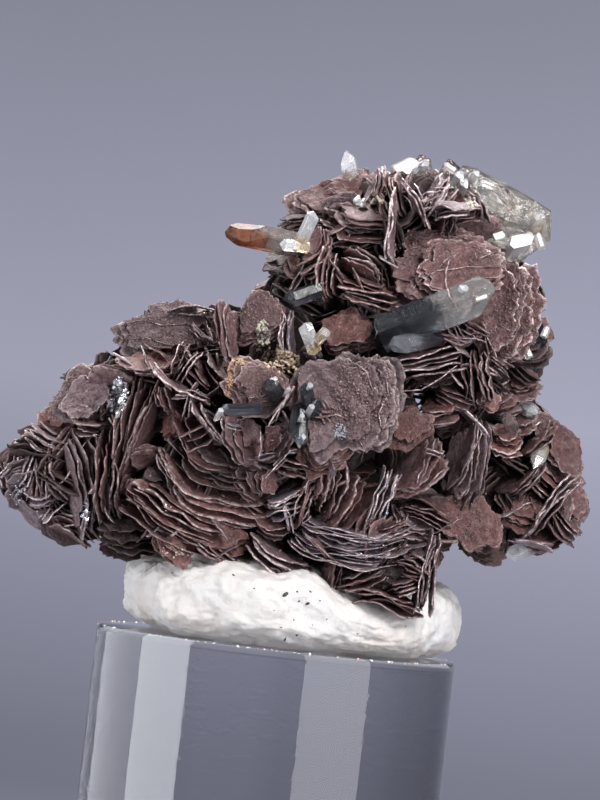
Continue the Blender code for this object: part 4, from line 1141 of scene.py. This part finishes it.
# Small bright crystals on and under the larger ones, each a piece: the node it belongs to, and its look.
# The glints in quartz_bright stand for highlights: their faces to the key light reflect it, and their white
# colour is painted highlight
smallCrystals = {
    "quartz_top_glints": ("quartz_top_cluster", "quartz_bright", [
        lyingInLight(5.4, -1.4, 58.9, 0.62, 2.0, 38),
        facingLight(6.5, -0.9, 59.2, 0.34, 10),
        facingLight(8.9, -1.4, 58.7, 0.36, 25),
        facingLight(10.1, -1.5, 58.9, 0.30, 15),
        lyingInLight(8.2, -0.9, 59.2, 0.42, 1.0, 150),
        facingLight(9.4, -1.8, 58.1, 0.42, 30),
        lyingInLight(10.9, -1.3, 58.3, 0.34, 1.0, 165),
        facingLight(9.7, -2.2, 56.8, 0.26, 15),
        lyingInLight(7.6, -1.8, 58.2, 0.30, 0.9, 75),
        facingLight(13.7, -2.6, 54.6, 0.92, 20),
        lyingInLight(15.0, -1.5, 54.9, 0.40, 1.2, 108),
        lyingInLight(12.2, -2.4, 54.8, 0.34, 1.0, 30),
        facingLight(14.6, -1.9, 56.3, 0.28, 12),
    ]),
    "quartz_right_glints": ("quartz_smoky_right", "quartz_bright", [
        lyingInLight(14.9, -4.0, 47.1, 0.36, 1.0, 115),
        lyingInLight(16.1, -2.8, 48.6, 0.26, 0.9, 70),
    ]),
    "quartz_smoky_glints": ("quartz_smoky_pair", "quartz_bright", [
        facingLight(9.9, -10.5, 50.7, 0.36, 10),
        lyingInLight(11.2, -10.5, 50.2, 0.15, 0.9, 30),
    ]),
    "quartz_under_smoky": ("quartz_smoky_pair", "quartz_dark", [
        Crystal((8.3, -7.4, 47.2), (5.5, -11.3, 46.2), 0.98, 0.6, 0),
    ]),
    "quartz_rosette_glints": ("quartz_rosette_upright", "quartz_bright", [
        facingLight(0.3, -12.5, 39.5, 0.26, 0),
        facingLight(0.3, -12.4, 43.0, 0.24, 20),
        facingLight(-1.1, -12.4, 42.6, 0.15, 0),
        facingLight(0.6, -12.4, 41.6, 0.26, 10),
        facingLight(0.0, -12.4, 40.9, 0.18, 30),
        facingLight(-5.5, -12.2, 40.6, 0.26, 20),
    ]),
}

# Slot of each crystal that isn't clear
crystalSlots = {
    "quartz_stained": "quartz_stained",
    "quartz_smoky_pair": "quartz_smoky",
    "quartz_smoky_right": "quartz_smoky",
    "quartz_notch_dark": "quartz_smoky",
    "quartz_rosette_upright": "quartz_smoky",
    "quartz_rosette_black": "quartz_smoky",
    "quartz_rosette_left": "quartz_smoky",
}
quartz = {
    "ior": 1.544,
    "shoulder": (0.86, 1.05),   # unequal prism faces, as shares of the radius
    "glintShoulder": (0.55, 1.15),
    "pointDrop": (-0.05, 0.35),  # unequal pointed faces, as shares of the point's length
    "tipOffset": 0.1,
    "edge": 0.04,
    "striationSpacing": 0.11,
    "striationDepth": 0.03,
    "seed": 21,
    "nickDepth": 0.27,          # share of the radius
    "nickDepths": (0.2, 1.0),   # shares of that depth
    "nicks": {
        "quartz_top_cluster": 22,
        "quartz_stained": 34,
        "quartz_smoky_right": 8,
        "quartz_smoky_pair": 3,
    },
    "waviness": 2.0,
    "shownAs": {
        "quartz_top_small": "quartz_frosted",
        "quartz_left_pair": "quartz_frosted",
        "quartz_middle_pair": "quartz_frosted",
        "quartz_low_right": "quartz_frosted",
        "quartz_right_glint": "quartz_frosted",
        "quartz_right_small": "quartz_frosted",
        "quartz_notch_dark": "quartz_dark",
        "quartz_rosette_upright": "quartz_dark",
        "quartz_rosette_black": "quartz_dark",
        "quartz_rosette_left": "quartz_dark",
    },
    "veils": {
        "quartz_top_cluster": [(0, 44, 0.3, 0.95), (1, 6, 0.3, 0.9), (4, 2, 0.4, 0.9), (5, 2, 0.4, 0.9),
                               (6, 4, 0.4, 0.9), (8, 6, 0.3, 0.9)],
        "quartz_smoky_pair": [(0, 6, 0.62, 0.92)],
        "quartz_stained": [(0, 8, 0.1, 0.5)],
        "quartz_top_small": [(0, 4, 0.6, 0.95)],
        "quartz_left_pair": [(0, 4, 0.3, 0.95), (1, 3, 0.3, 0.95)],
        "quartz_middle_pair": [(0, 3, 0.4, 0.95), (1, 2, 0.4, 0.95)],
        "quartz_smoky_right": [(0, 5, 0.5, 0.95)],
    },
}
# Looks of the crystals. A film in the colours film and deep covers a crystal from filmFrom mm along it,
# towards its tip where filmSign is 1 and towards its root where it is -1.
Look = namedtuple("Look", "tint film deep mottle absorb density roughness filmFrom filmSign filmRoughness "
                          "transmission specular")
crystalLooks = {
    "quartz_clear": Look((0.90, 0.88, 0.87), (1.0, 0.95, 0.90), (0.6, 0.48, 0.36), 0.25,
                         (0.80, 0.76, 0.73), 36.0, 0.04, 5.0, 1.0, 0.16, 0.965, 0.6),
    "quartz_frosted": Look((0.90, 0.92, 0.97), (0.74, 0.58, 0.34), (0.4, 0.3, 0.18), 0.4,
                           (0.9, 0.9, 0.9), 10.0, 0.07, 1.2, -1.0, 0.25, 0.72, 0.95),
    # white of the glints that stands in for highlights: painted highlight
    "quartz_bright": Look((0.92, 0.93, 0.97), (0.86, 0.80, 0.70), (0.6, 0.5, 0.36), 0.3,
                          (0.9, 0.9, 0.9), 10.0, 0.07, 0.7, -1.0, 0.2, 0.66, 0.95),
    "quartz_dark": Look((0.10, 0.106, 0.13), (0.70, 0.72, 0.78), (0.4, 0.42, 0.5), 0.3,
                        (0.36, 0.40, 0.50), 420.0, 0.05, 2.3, 1.0, 0.1, 0.85, 0.8),
    "quartz_smoky": Look((0.80, 0.78, 0.77), (0.062, 0.067, 0.085), (0.14, 0.148, 0.18), 0.7,
                         (0.55, 0.56, 0.62), 120.0, 0.05, 5.1, -1.0, 0.24, 0.86, 0.5),
    "quartz_stained": Look((0.27, 0.235, 0.225), (0.30, 0.075, 0.014), (0.035, 0.014, 0.010), 1.0,
                           (0.85, 0.6, 0.35), 160.0, 0.22, 1.9, 1.0, 0.5, 0.6, 0.25),
}


# Growth ridges across a prism's faces
def makeRidgeGroup():
    group, start, end, place = newGroup(
        "crystalRidges", {"Along": 0.0, "Around": 0.0, "Spacing": 0.09}, ["Height"])
    along = mathNode(group, "DIVIDE", start["Along"], start["Spacing"])
    flat = addNode(group, "CombineXYZ", {0: along, 1: start["Around"]}).outputs[0]
    settings = {"Vector": flat, "Scale": 0.8, "Detail": 3.0, "Roughness": 0.7}
    lines = addNode(group, "TexNoise", settings).outputs["Fac"]
    slow = noiseInMm(group, place, 1.1, 2.0)
    group.links.new(mathNode(group, "MULTIPLY_ADD", slow, quartz["waviness"], lines), end["Height"])
    return group


# A film that covers a crystal from some place along it
def makeFilmGroup():
    group, start, end, place = newGroup("crystalFilm", {"Along": 0.0, "From": 1.6, "Sign": 1.0}, ["Mask"])
    past = mathNode(group, "SUBTRACT", start["Along"], start["From"])
    past = mathNode(group, "MULTIPLY", past, start["Sign"])
    stray = mathNode(group, "SUBTRACT", noiseInMm(group, place, 0.9, 5.0, 0.7), 0.5)
    strayed = mathNode(group, "MULTIPLY_ADD", stray, 5.0, past)
    group.links.new(rampNode(group, strayed, [(0.0, 0.0), (1.0, 1.0)]), end["Mask"])
    return group


ridgeGroup = makeRidgeGroup()
filmGroup = makeFilmGroup()


def makeQuartzMaterial(name, look):
    material, tree, shader = newMaterial(
        name, IOR=quartz["ior"], Transmission_Weight=look.transmission, Specular_IOR_Level=look.specular)
    along, around, _ = addNode(tree, "SeparateXYZ", {
        0: addNode(tree, "UVMap", uv_map="crystalPlace").outputs[0]}).outputs
    ridges = useGroup(tree, ridgeGroup, Along=along, Around=around, Spacing=quartz["striationSpacing"])
    addBump(tree, shader, ridges["Height"], quartz["striationDepth"])
    film = useGroup(tree, filmGroup, Along=along, From=look.filmFrom, Sign=look.filmSign)["Mask"]
    spotted = rampNode(tree, useGroup(tree, grainGroup, Fineness=0.7)["Height"], [(0.74, 0.0), (0.9, 1.0)])
    coat = mixColour(tree, mathNode(tree, "MULTIPLY", spotted, look.mottle), look.film, look.deep)
    tree.links.new(mixColour(tree, film, look.tint, coat), shader.inputs["Base Color"])
    rougher = look.filmRoughness - look.roughness
    tree.links.new(mathNode(tree, "MULTIPLY_ADD", film, rougher, look.roughness), shader.inputs["Roughness"])
    addAbsorption(tree, look.absorb, look.density)
    return material


# Veils of tiny bubbles inside the clear crystals
def makeVeilMaterial():
    material, tree, shader = newMaterial("quartzVeil", IOR=1.3, Roughness=0.45, Transmission_Weight=0.45)
    grain = useGroup(tree, grainGroup, Fineness=0.8)
    colour = mixColour(tree, grain["Patches"], (0.95, 0.95, 0.95), (0.60, 0.48, 0.34))
    tree.links.new(colour, shader.inputs["Base Color"])
    tree.links.new(rampNode(tree, grain["Height"], [(0.7, 0.0), (0.95, 0.85)]), shader.inputs["Alpha"])
    return material


quartzMaterials = {name: makeQuartzMaterial(name, look) for name, look in crystalLooks.items()}
veilMaterial = makeVeilMaterial()


def cutAway(shape, point, out):
    bmesh.ops.bisect_plane(shape, geom=shape.verts[:] + shape.edges[:] + shape.faces[:],
                           plane_co=point, plane_no=out, clear_outer=True, dist=1e-6)
    bmesh.ops.holes_fill(shape, edges=[edge for edge in shape.edges if edge.is_boundary])


# A crystal grown inside a block: six prism faces and six pointed ones, all a little unequal
def makeCrystal(name, crystal, material, dice):
    root = Vector(crystal.root)
    length = (Vector(crystal.tip) - root).length
    axis = (Vector(crystal.tip) - root).normalized()
    side = Vector((0, 0, 1)).cross(axis).normalized()
    up = axis.cross(side)
    radius = crystal.radius
    shape = bmesh.new()
    bmesh.ops.create_cube(shape, size=1.0)
    for vert in shape.verts:
        x, y, z = vert.co
        vert.co = Vector((x * 4 * radius, y * 4 * radius, (z + 0.5) * (length + radius)))
    apothem = radius * math.cos(math.pi / 6)
    apex = Vector((0.0, quartz["tipOffset"] * radius, length))
    shoulder = quartz["glintShoulder" if name in smallCrystals else "shoulder"]
    for k in range(6):
        turn = math.radians(crystal.spin + 30 + 60 * k)
        out = Vector((math.cos(turn), math.sin(turn), 0.0))
        cutAway(shape, out * apothem * dice.uniform(*shoulder), out)
        slope = (out * crystal.point + Vector((0, 0, apothem))).normalized()
        drop = dice.uniform(*quartz["pointDrop"]) * crystal.point * (0.35 if k % 2 else 1.0)
        cutAway(shape, apex - Vector((0, 0, drop)), slope)
    for _ in range(quartz["nicks"].get(name, 0)):
        out = Vector((dice.gauss(0, 1), dice.gauss(0, 1), dice.gauss(0, 0.8))).normalized()
        farthest = max((vert.co for vert in shape.verts), key=out.dot)
        nicked = farthest - out * dice.uniform(*quartz["nickDepths"]) * quartz["nickDepth"] * radius
        cutAway(shape, nicked, out)
    bmesh.ops.dissolve_limit(shape, angle_limit=0.01, verts=shape.verts, edges=shape.edges)
    bmesh.ops.bevel(shape, geom=shape.edges[:], offset=quartz["edge"] * min(1.0, radius), segments=2,
                    profile=0.6, affect="EDGES", clamp_overlap=True)
    bmesh.ops.remove_doubles(shape, verts=shape.verts, dist=1e-4)
    place = shape.loops.layers.uv.new("crystalPlace")
    for face in shape.faces:
        for loop in face.loops:
            flat = loop.vert.co
            loop[place].uv = (flat.z, math.atan2(face.normal.y, face.normal.x) * 3 + flat.x + flat.y)
    turned = Matrix((side, up, axis)).transposed().to_4x4()
    shape.transform(Matrix.Scale(mm, 4) @ Matrix.Translation(root) @ turned)
    return linkShape(name, shape, material)


def fuse(whole, grown):
    joint = whole.modifiers.new("fuse", "BOOLEAN")
    joint.operation = "UNION"
    joint.solver = "EXACT"
    joint.object = grown
    mesh = bpy.data.meshes.new_from_object(whole.evaluated_get(bpy.context.evaluated_depsgraph_get()))
    whole.modifiers.clear()
    whole.data = mesh
    bpy.data.objects.remove(grown)


def addVeil(heap, crystal, low, high, dice):
    root, tip = Vector(crystal.root), Vector(crystal.tip)
    axis = (tip - root).normalized()
    far = (tip - root).length - crystal.point
    middle = root + axis * far * dice.uniform(low, high)
    middle += Vector([dice.gauss(0, 0.22) * crystal.radius for _ in range(3)])
    half = crystal.radius * dice.uniform(0.25, 0.6)
    book = Book(0, 0, 0, dice.uniform(-90, 90), dice.uniform(-80, 80), half, half, 1, 0.1)
    swell = [(0.1 * half, dice.uniform(-2, 2) / half, dice.uniform(-2, 2) / half, dice.uniform(0, 6))]
    waves = [(2, 0.2, dice.uniform(0, 6)), (3, 0.12, dice.uniform(0, 6))]
    shape = {"waves": waves, "swell": swell, "curl": 0.0, "thick": 0.02}
    addSheet(heap, middle, sheetAxes(book.lie, book.lean), half, half, shape, book, dice, 0.6)


def growTogether(name, label, grown, look, dice):
    made = [makeCrystal(name, crystal, quartzMaterials[look], dice) for crystal in grown]
    for other in made[1:]:
        fuse(made[0], other)
    made[0].name = label
    made[0].data.materials.clear()
    made[0].data.materials.append(quartzMaterials[look])
    return made[0]


def makeQuartz():
    dice = random.Random(quartz["seed"])
    heap = newHeap()
    for name, rows in quartz["veils"].items():
        for index, count, low, high in rows:
            for _ in range(count):
                addVeil(heap, crystals[name][index], low, high, dice)
    veils = pieceFromHeap("quartz_veils", heap, veilMaterial)
    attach(veils, "root")
    for name, grown in crystals.items():
        slot = crystalSlots.get(name, "quartz_clear")
        settle(growTogether(name, name + "_look", grown, quartz["shownAs"].get(name, slot), dice), slot, name)
    for name, (node, look, grown) in smallCrystals.items():
        settle(growTogether(name, name, grown, look, dice), crystalSlots.get(node, "quartz_clear"), node)


makeQuartz()
print("the quartz is made")


# Putty pad

putty = {
    "radius": 11.4,
    "height": 5.3,
    "foot": 25.03,
    "centreX": 0.6,
    "roundness": 0.45,
    "flatness": 0.7,
    "fullness": 1.15,
    "dentCentre": (7.0, -10.5),
    "dentDepth": 2.4,
    "dentWidth": 3.6,
    "around": 300,
    "upwards": 96,
    "lumps": (0.34, 0.22),      # depth in mm and lumps per mm
    "folds": (0.16, 0.42),
    "creases": (0.085, 1.4),
    "crumbs": (0.03, 4.2),
    "surface": (0.14, 0.8),     # depth in mm and strength of its finest relief
    "white": (0.64, 0.63, 0.62),
    "cream": (0.62, 0.52, 0.46),
    "grime": (0.42, 0.37, 0.34),
    "grimeShare": 0.3,
    "creamBelow": (27.9, 3.2),  # height where the cream tone begins, and how far down it grows, in mm
    "roughness": 0.55,
    "crumbColour": (0.03, 0.022, 0.022),
    "crumbSeed": 2,
}


def makePuttyMaterial():
    material, tree, shader = newMaterial("putty", Roughness=putty["roughness"])
    grain = useGroup(tree, grainGroup, Fineness=0.45)
    height = addNode(tree, "SeparateXYZ", {0: addNode(tree, "TexCoord").outputs["Object"]}).outputs["Z"]
    begins, fades = putty["creamBelow"]
    low = mathNode(tree, "MULTIPLY_ADD", height, -1 / (fades * mm), begins / fades)
    stained = mathNode(tree, "MULTIPLY", rampNode(tree, low, [(0.0, 0.25), (1.0, 0.85)]), grain["Patches"])
    base = mixColour(tree, stained, putty["white"], putty["cream"])
    grimy = mathNode(tree, "MULTIPLY", grain["Specks"], putty["grimeShare"])
    tree.links.new(mixColour(tree, grimy, base, putty["grime"]), shader.inputs["Base Color"])
    addBump(tree, shader, grain["Height"], *putty["surface"])
    return material


def makePutty():
    shape = bmesh.new()
    bmesh.ops.create_uvsphere(shape, u_segments=putty["around"], v_segments=putty["upwards"], radius=1.0)
    foot = putty["foot"]
    top = foot + putty["height"]
    middle = (foot + top) / 2
    dentX, dentY = putty["dentCentre"]
    for vert in shape.verts:
        ball = vert.co.copy()
        turn = math.atan2(ball.y, ball.x)
        ring = min(1.0, math.hypot(ball.x, ball.y)) ** putty["roundness"]
        lumps = 1 + 0.022 * math.sin(3 * turn + 0.8) + 0.014 * math.sin(7 * turn)
        reach = putty["radius"] * lumps * ring
        bulge = math.copysign(abs(ball.z) ** putty["flatness"], ball.z)
        rise = bulge * putty["fullness"] * (top - foot) / 2
        x = putty["centreX"] + reach * math.cos(turn)
        spot = Vector((x, reach * math.sin(turn), middle + rise))
        moved = 0.0
        for label, folded in (("lumps", False), ("folds", True), ("creases", True), ("crumbs", False)):
            depth, perMm = putty[label]
            wave = noise.fractal(spot * perMm, 0.9, 2.0, 3)
            moved += depth * ((1 - 2.4 * abs(wave)) if folded else wave * 1.6)
        out = Vector((math.cos(turn) * ring, math.sin(turn) * ring, ball.z * 1.2)).normalized()
        spot += out * (moved - 0.12)
        away = math.hypot(spot.x - dentX, spot.y - dentY) / putty["dentWidth"]
        spot.z = max(foot, spot.z)
        spot.z -= (spot.z - foot) / (top - foot) * putty["dentDepth"] * math.exp(-away * away)
        vert.co = spot * mm
    for face in shape.faces:
        face.smooth = True
    return linkShape("putty_look", shape, makePuttyMaterial())


def pressCrumbs():
    dice = random.Random(putty["crumbSeed"])
    heap = newHeap()
    for x, z, half in puttyCrumbs:
        spot, _ = frontAt(x, z)
        if spot is not None:
            addLump(heap, spot, (half, 0.06, 0.6 * half), putty["crumbColour"], dice)
    settle(pieceFromHeap("putty_crumbs", heap, grainMaterial), "hematite", "hematite_cluster")


settle(makePutty(), "putty", "putty_pad")
pressCrumbs()
print("the putty is made")


# Acrylic rod

rod = {
    "radius": 12.5,
    "height": 25.0,
    "edge": 0.3,
    "around": 160,
    "ior": 1.49,
    "roughness": 0.02,
    "tint": (0.985, 0.99, 1.0, 1.0),
    "absorb": (0.80, 0.80, 0.82),
    "density": 50.0,
    "scratches": (0.004, 0.4),  # depth in mm and strength
    "chips": 90,
    "chipSizes": (0.04, 0.15),
    "chipColours": [(0.75, 0.7, 0.7), (0.62, 0.45, 0.42), (0.8, 0.8, 0.82)],
    "seed": 8,
}


def makeRodMaterial():
    material, tree, shader = newMaterial("acrylic", IOR=rod["ior"], Roughness=rod["roughness"],
                                         Transmission_Weight=1.0, Base_Color=rod["tint"])
    addBump(tree, shader, useGroup(tree, grainGroup, Fineness=0.3)["Specks"], *rod["scratches"])
    addAbsorption(tree, rod["absorb"], rod["density"])
    return material


def makeRod():
    shape = bmesh.new()
    radius, edge, around = rod["radius"], rod["edge"], rod["around"]
    profile = [(radius - edge, 0.0), (radius - 0.3 * edge, 0.1 * edge), (radius, edge), (radius, 2 * edge)]
    profile += [(reach, rod["height"] - z) for reach, z in reversed(profile)]
    turns = [math.tau * k / around for k in range(around)]
    rings = []
    for reach, z in profile:
        rings.append([shape.verts.new((reach * math.cos(turn) * mm, reach * math.sin(turn) * mm, z * mm))
                      for turn in turns])
    for lower, upper in zip(rings, rings[1:]):
        for k in range(around):
            after = (k + 1) % around
            shape.faces.new((lower[k], lower[after], upper[after], upper[k])).smooth = True
    shape.faces.new(rings[0][::-1])
    shape.faces.new(rings[-1])
    piece = linkShape("rod_look", shape, makeRodMaterial())
    piece.data.set_sharp_from_angle(angle=math.radians(40))
    return piece


# Crumbs and droplets left along the rod's upper rim
def makeRimCrumbs():
    dice = random.Random(rod["seed"])
    heap = newHeap()
    reach = rod["radius"] - 0.12
    for _ in range(rod["chips"]):
        turn = math.radians(dice.uniform(0, 360))
        size = dice.uniform(*rod["chipSizes"])
        spot = (reach * math.cos(turn), reach * math.sin(turn), rod["height"] - 0.06)
        colour = dice.choice(rod["chipColours"])
        addLump(heap, spot, (size, size * 0.7, size * 0.6), colour, dice)
    settle(pieceFromHeap("rim_crumbs", heap, grainMaterial), "putty", "putty_pad")


settle(makeRod(), "acrylic", "display_rod")
makeRimCrumbs()
print("the rod is made")


# Studio

studio = {
    "middle": (-0.27, 0.0, 41.9),     # what the middle of the picture looks at
    "distance": 400.0,
    "pixelsPerMm": 14.4,
    "pixelsHigh": 800,
    "roll": 6.5,
    "sensor": 36.0,
    "floorRadius": 150.0,
    "floorColour": (0.30, 0.305, 0.34),
    "floorFadesFrom": 60.0,
    "floorDrop": 0.02,      # just under the rod's foot
}
# Place, height aimed at, size, power and colour of each lamp
lamps = {
    "keyLight": ((110, -230, 270), 42, (140, 140), 1.2, (1.0, 0.98, 0.97)),
    "topLight": ((-30, 130, 310), 42, (220, 180), 2.2, (1.0, 1.0, 1.0)),
    "rightWindow": ((205, -235, 60), 60, (250, 260), 0.78, (0.97, 0.98, 1.0)),
    "leftWindow": ((-290, -85, 60), 60, (210, 260), 0.88, (0.96, 0.98, 1.0)),
}
# Colours of the room from below to above, and its brightness from the camera's side to the far one
room = {
    "upwards": [
        (0.0, (0.29, 0.295, 0.36)),
        (0.45, (0.29, 0.295, 0.36)),
        (0.466, (0.175, 0.178, 0.232)),
        (0.4815, (0.262, 0.266, 0.345)),
        (0.5, (0.375, 0.383, 0.485)),
        (0.515, (0.315, 0.322, 0.415)),
        (0.535, (0.243, 0.25, 0.315)),
        (0.62, (0.12, 0.12, 0.15)),
        (0.74, (0.05, 0.05, 0.056)),
    ],
    "backwards": [(0.6, 0.5), (0.78, 0.55), (0.91, 0.72), (0.985, 1.0)],
    "sideways": [(0.475, 0.90), (0.525, 1.0)],
    "strength": 1.04,
}


def makeCamera():
    data = bpy.data.cameras.new("photoCamera")
    data.sensor_width = studio["sensor"]
    data.lens = studio["pixelsPerMm"] * studio["distance"] / studio["pixelsHigh"] * studio["sensor"]
    data.clip_start = 0.01
    camera = linkObject("photoCamera", data)
    eye = (Vector(studio["middle"]) - Vector((0, studio["distance"], 0))) * mm
    turn = Matrix.Rotation(math.radians(90), 4, "X") @ Matrix.Rotation(math.radians(studio["roll"]), 4, "Z")
    camera.matrix_world = Matrix.Translation(eye) @ turn
    bpy.context.scene.camera = camera


def makeLamps():
    for name, (place, aim, size, power, colour) in lamps.items():
        data = bpy.data.lights.new(name, "AREA")
        data.shape = "RECTANGLE"
        data.size, data.size_y = [side * mm for side in size]
        data.energy = power
        data.color = colour
        made = linkObject(name, data)
        made.location = Vector(place) * mm
        way = Vector((0, 0, aim)) * mm - made.location
        made.rotation_euler = way.to_track_quat("-Z", "Y").to_euler()


def makeWorld():
    world = bpy.data.worlds.new("paleGreyRoom")
    bpy.context.scene.world = world
    world.use_nodes = True
    tree = world.node_tree
    back = tree.nodes["Background"]
    way = addNode(tree, "SeparateXYZ", {0: addNode(tree, "TexCoord").outputs["Generated"]}).outputs
    shares = [mathNode(tree, "MULTIPLY", mathNode(tree, "ADD", part, 1.0), 0.5) for part in way]
    across, behind, raised = shares
    shade = rampNode(tree, raised, room["upwards"])
    for part, stops in ((behind, room["backwards"]), (across, room["sideways"])):
        shade = mixColour(tree, 1.0, shade, rampNode(tree, part, stops), "MULTIPLY")
    tree.links.new(shade, back.inputs["Color"])
    back.inputs["Strength"].default_value = room["strength"]


def makeFloor():
    shape = bmesh.new()
    bmesh.ops.create_circle(shape, cap_ends=True, segments=96, radius=studio["floorRadius"] * mm)
    colour = (*studio["floorColour"], 1.0)
    material, tree, shader = newMaterial("paleFloor", Roughness=0.7, Base_Color=colour)
    place = addNode(tree, "TexCoord").outputs["Object"]
    away = addNode(tree, "VectorMath", {0: place}, operation="LENGTH").outputs["Value"]
    share = mathNode(tree, "DIVIDE", away, studio["floorRadius"] * mm)
    fade = rampNode(tree, share, [(studio["floorFadesFrom"] / studio["floorRadius"], 1.0), (0.99, 0.0)])
    tree.links.new(fade, shader.inputs["Alpha"])
    floor = linkShape("paleFloor", shape, material)
    floor.location.z = -studio["floorDrop"] * mm
    floor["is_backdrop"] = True


makeCamera()
makeLamps()
makeWorld()
makeFloor()
bpy.context.scene.view_settings.view_transform = "Standard"
print("the studio is set")

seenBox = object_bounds()
sizes = {name: [list(corner) for corner in box] for name, box in (("cad", cadBox), ("visual", seenBox))}
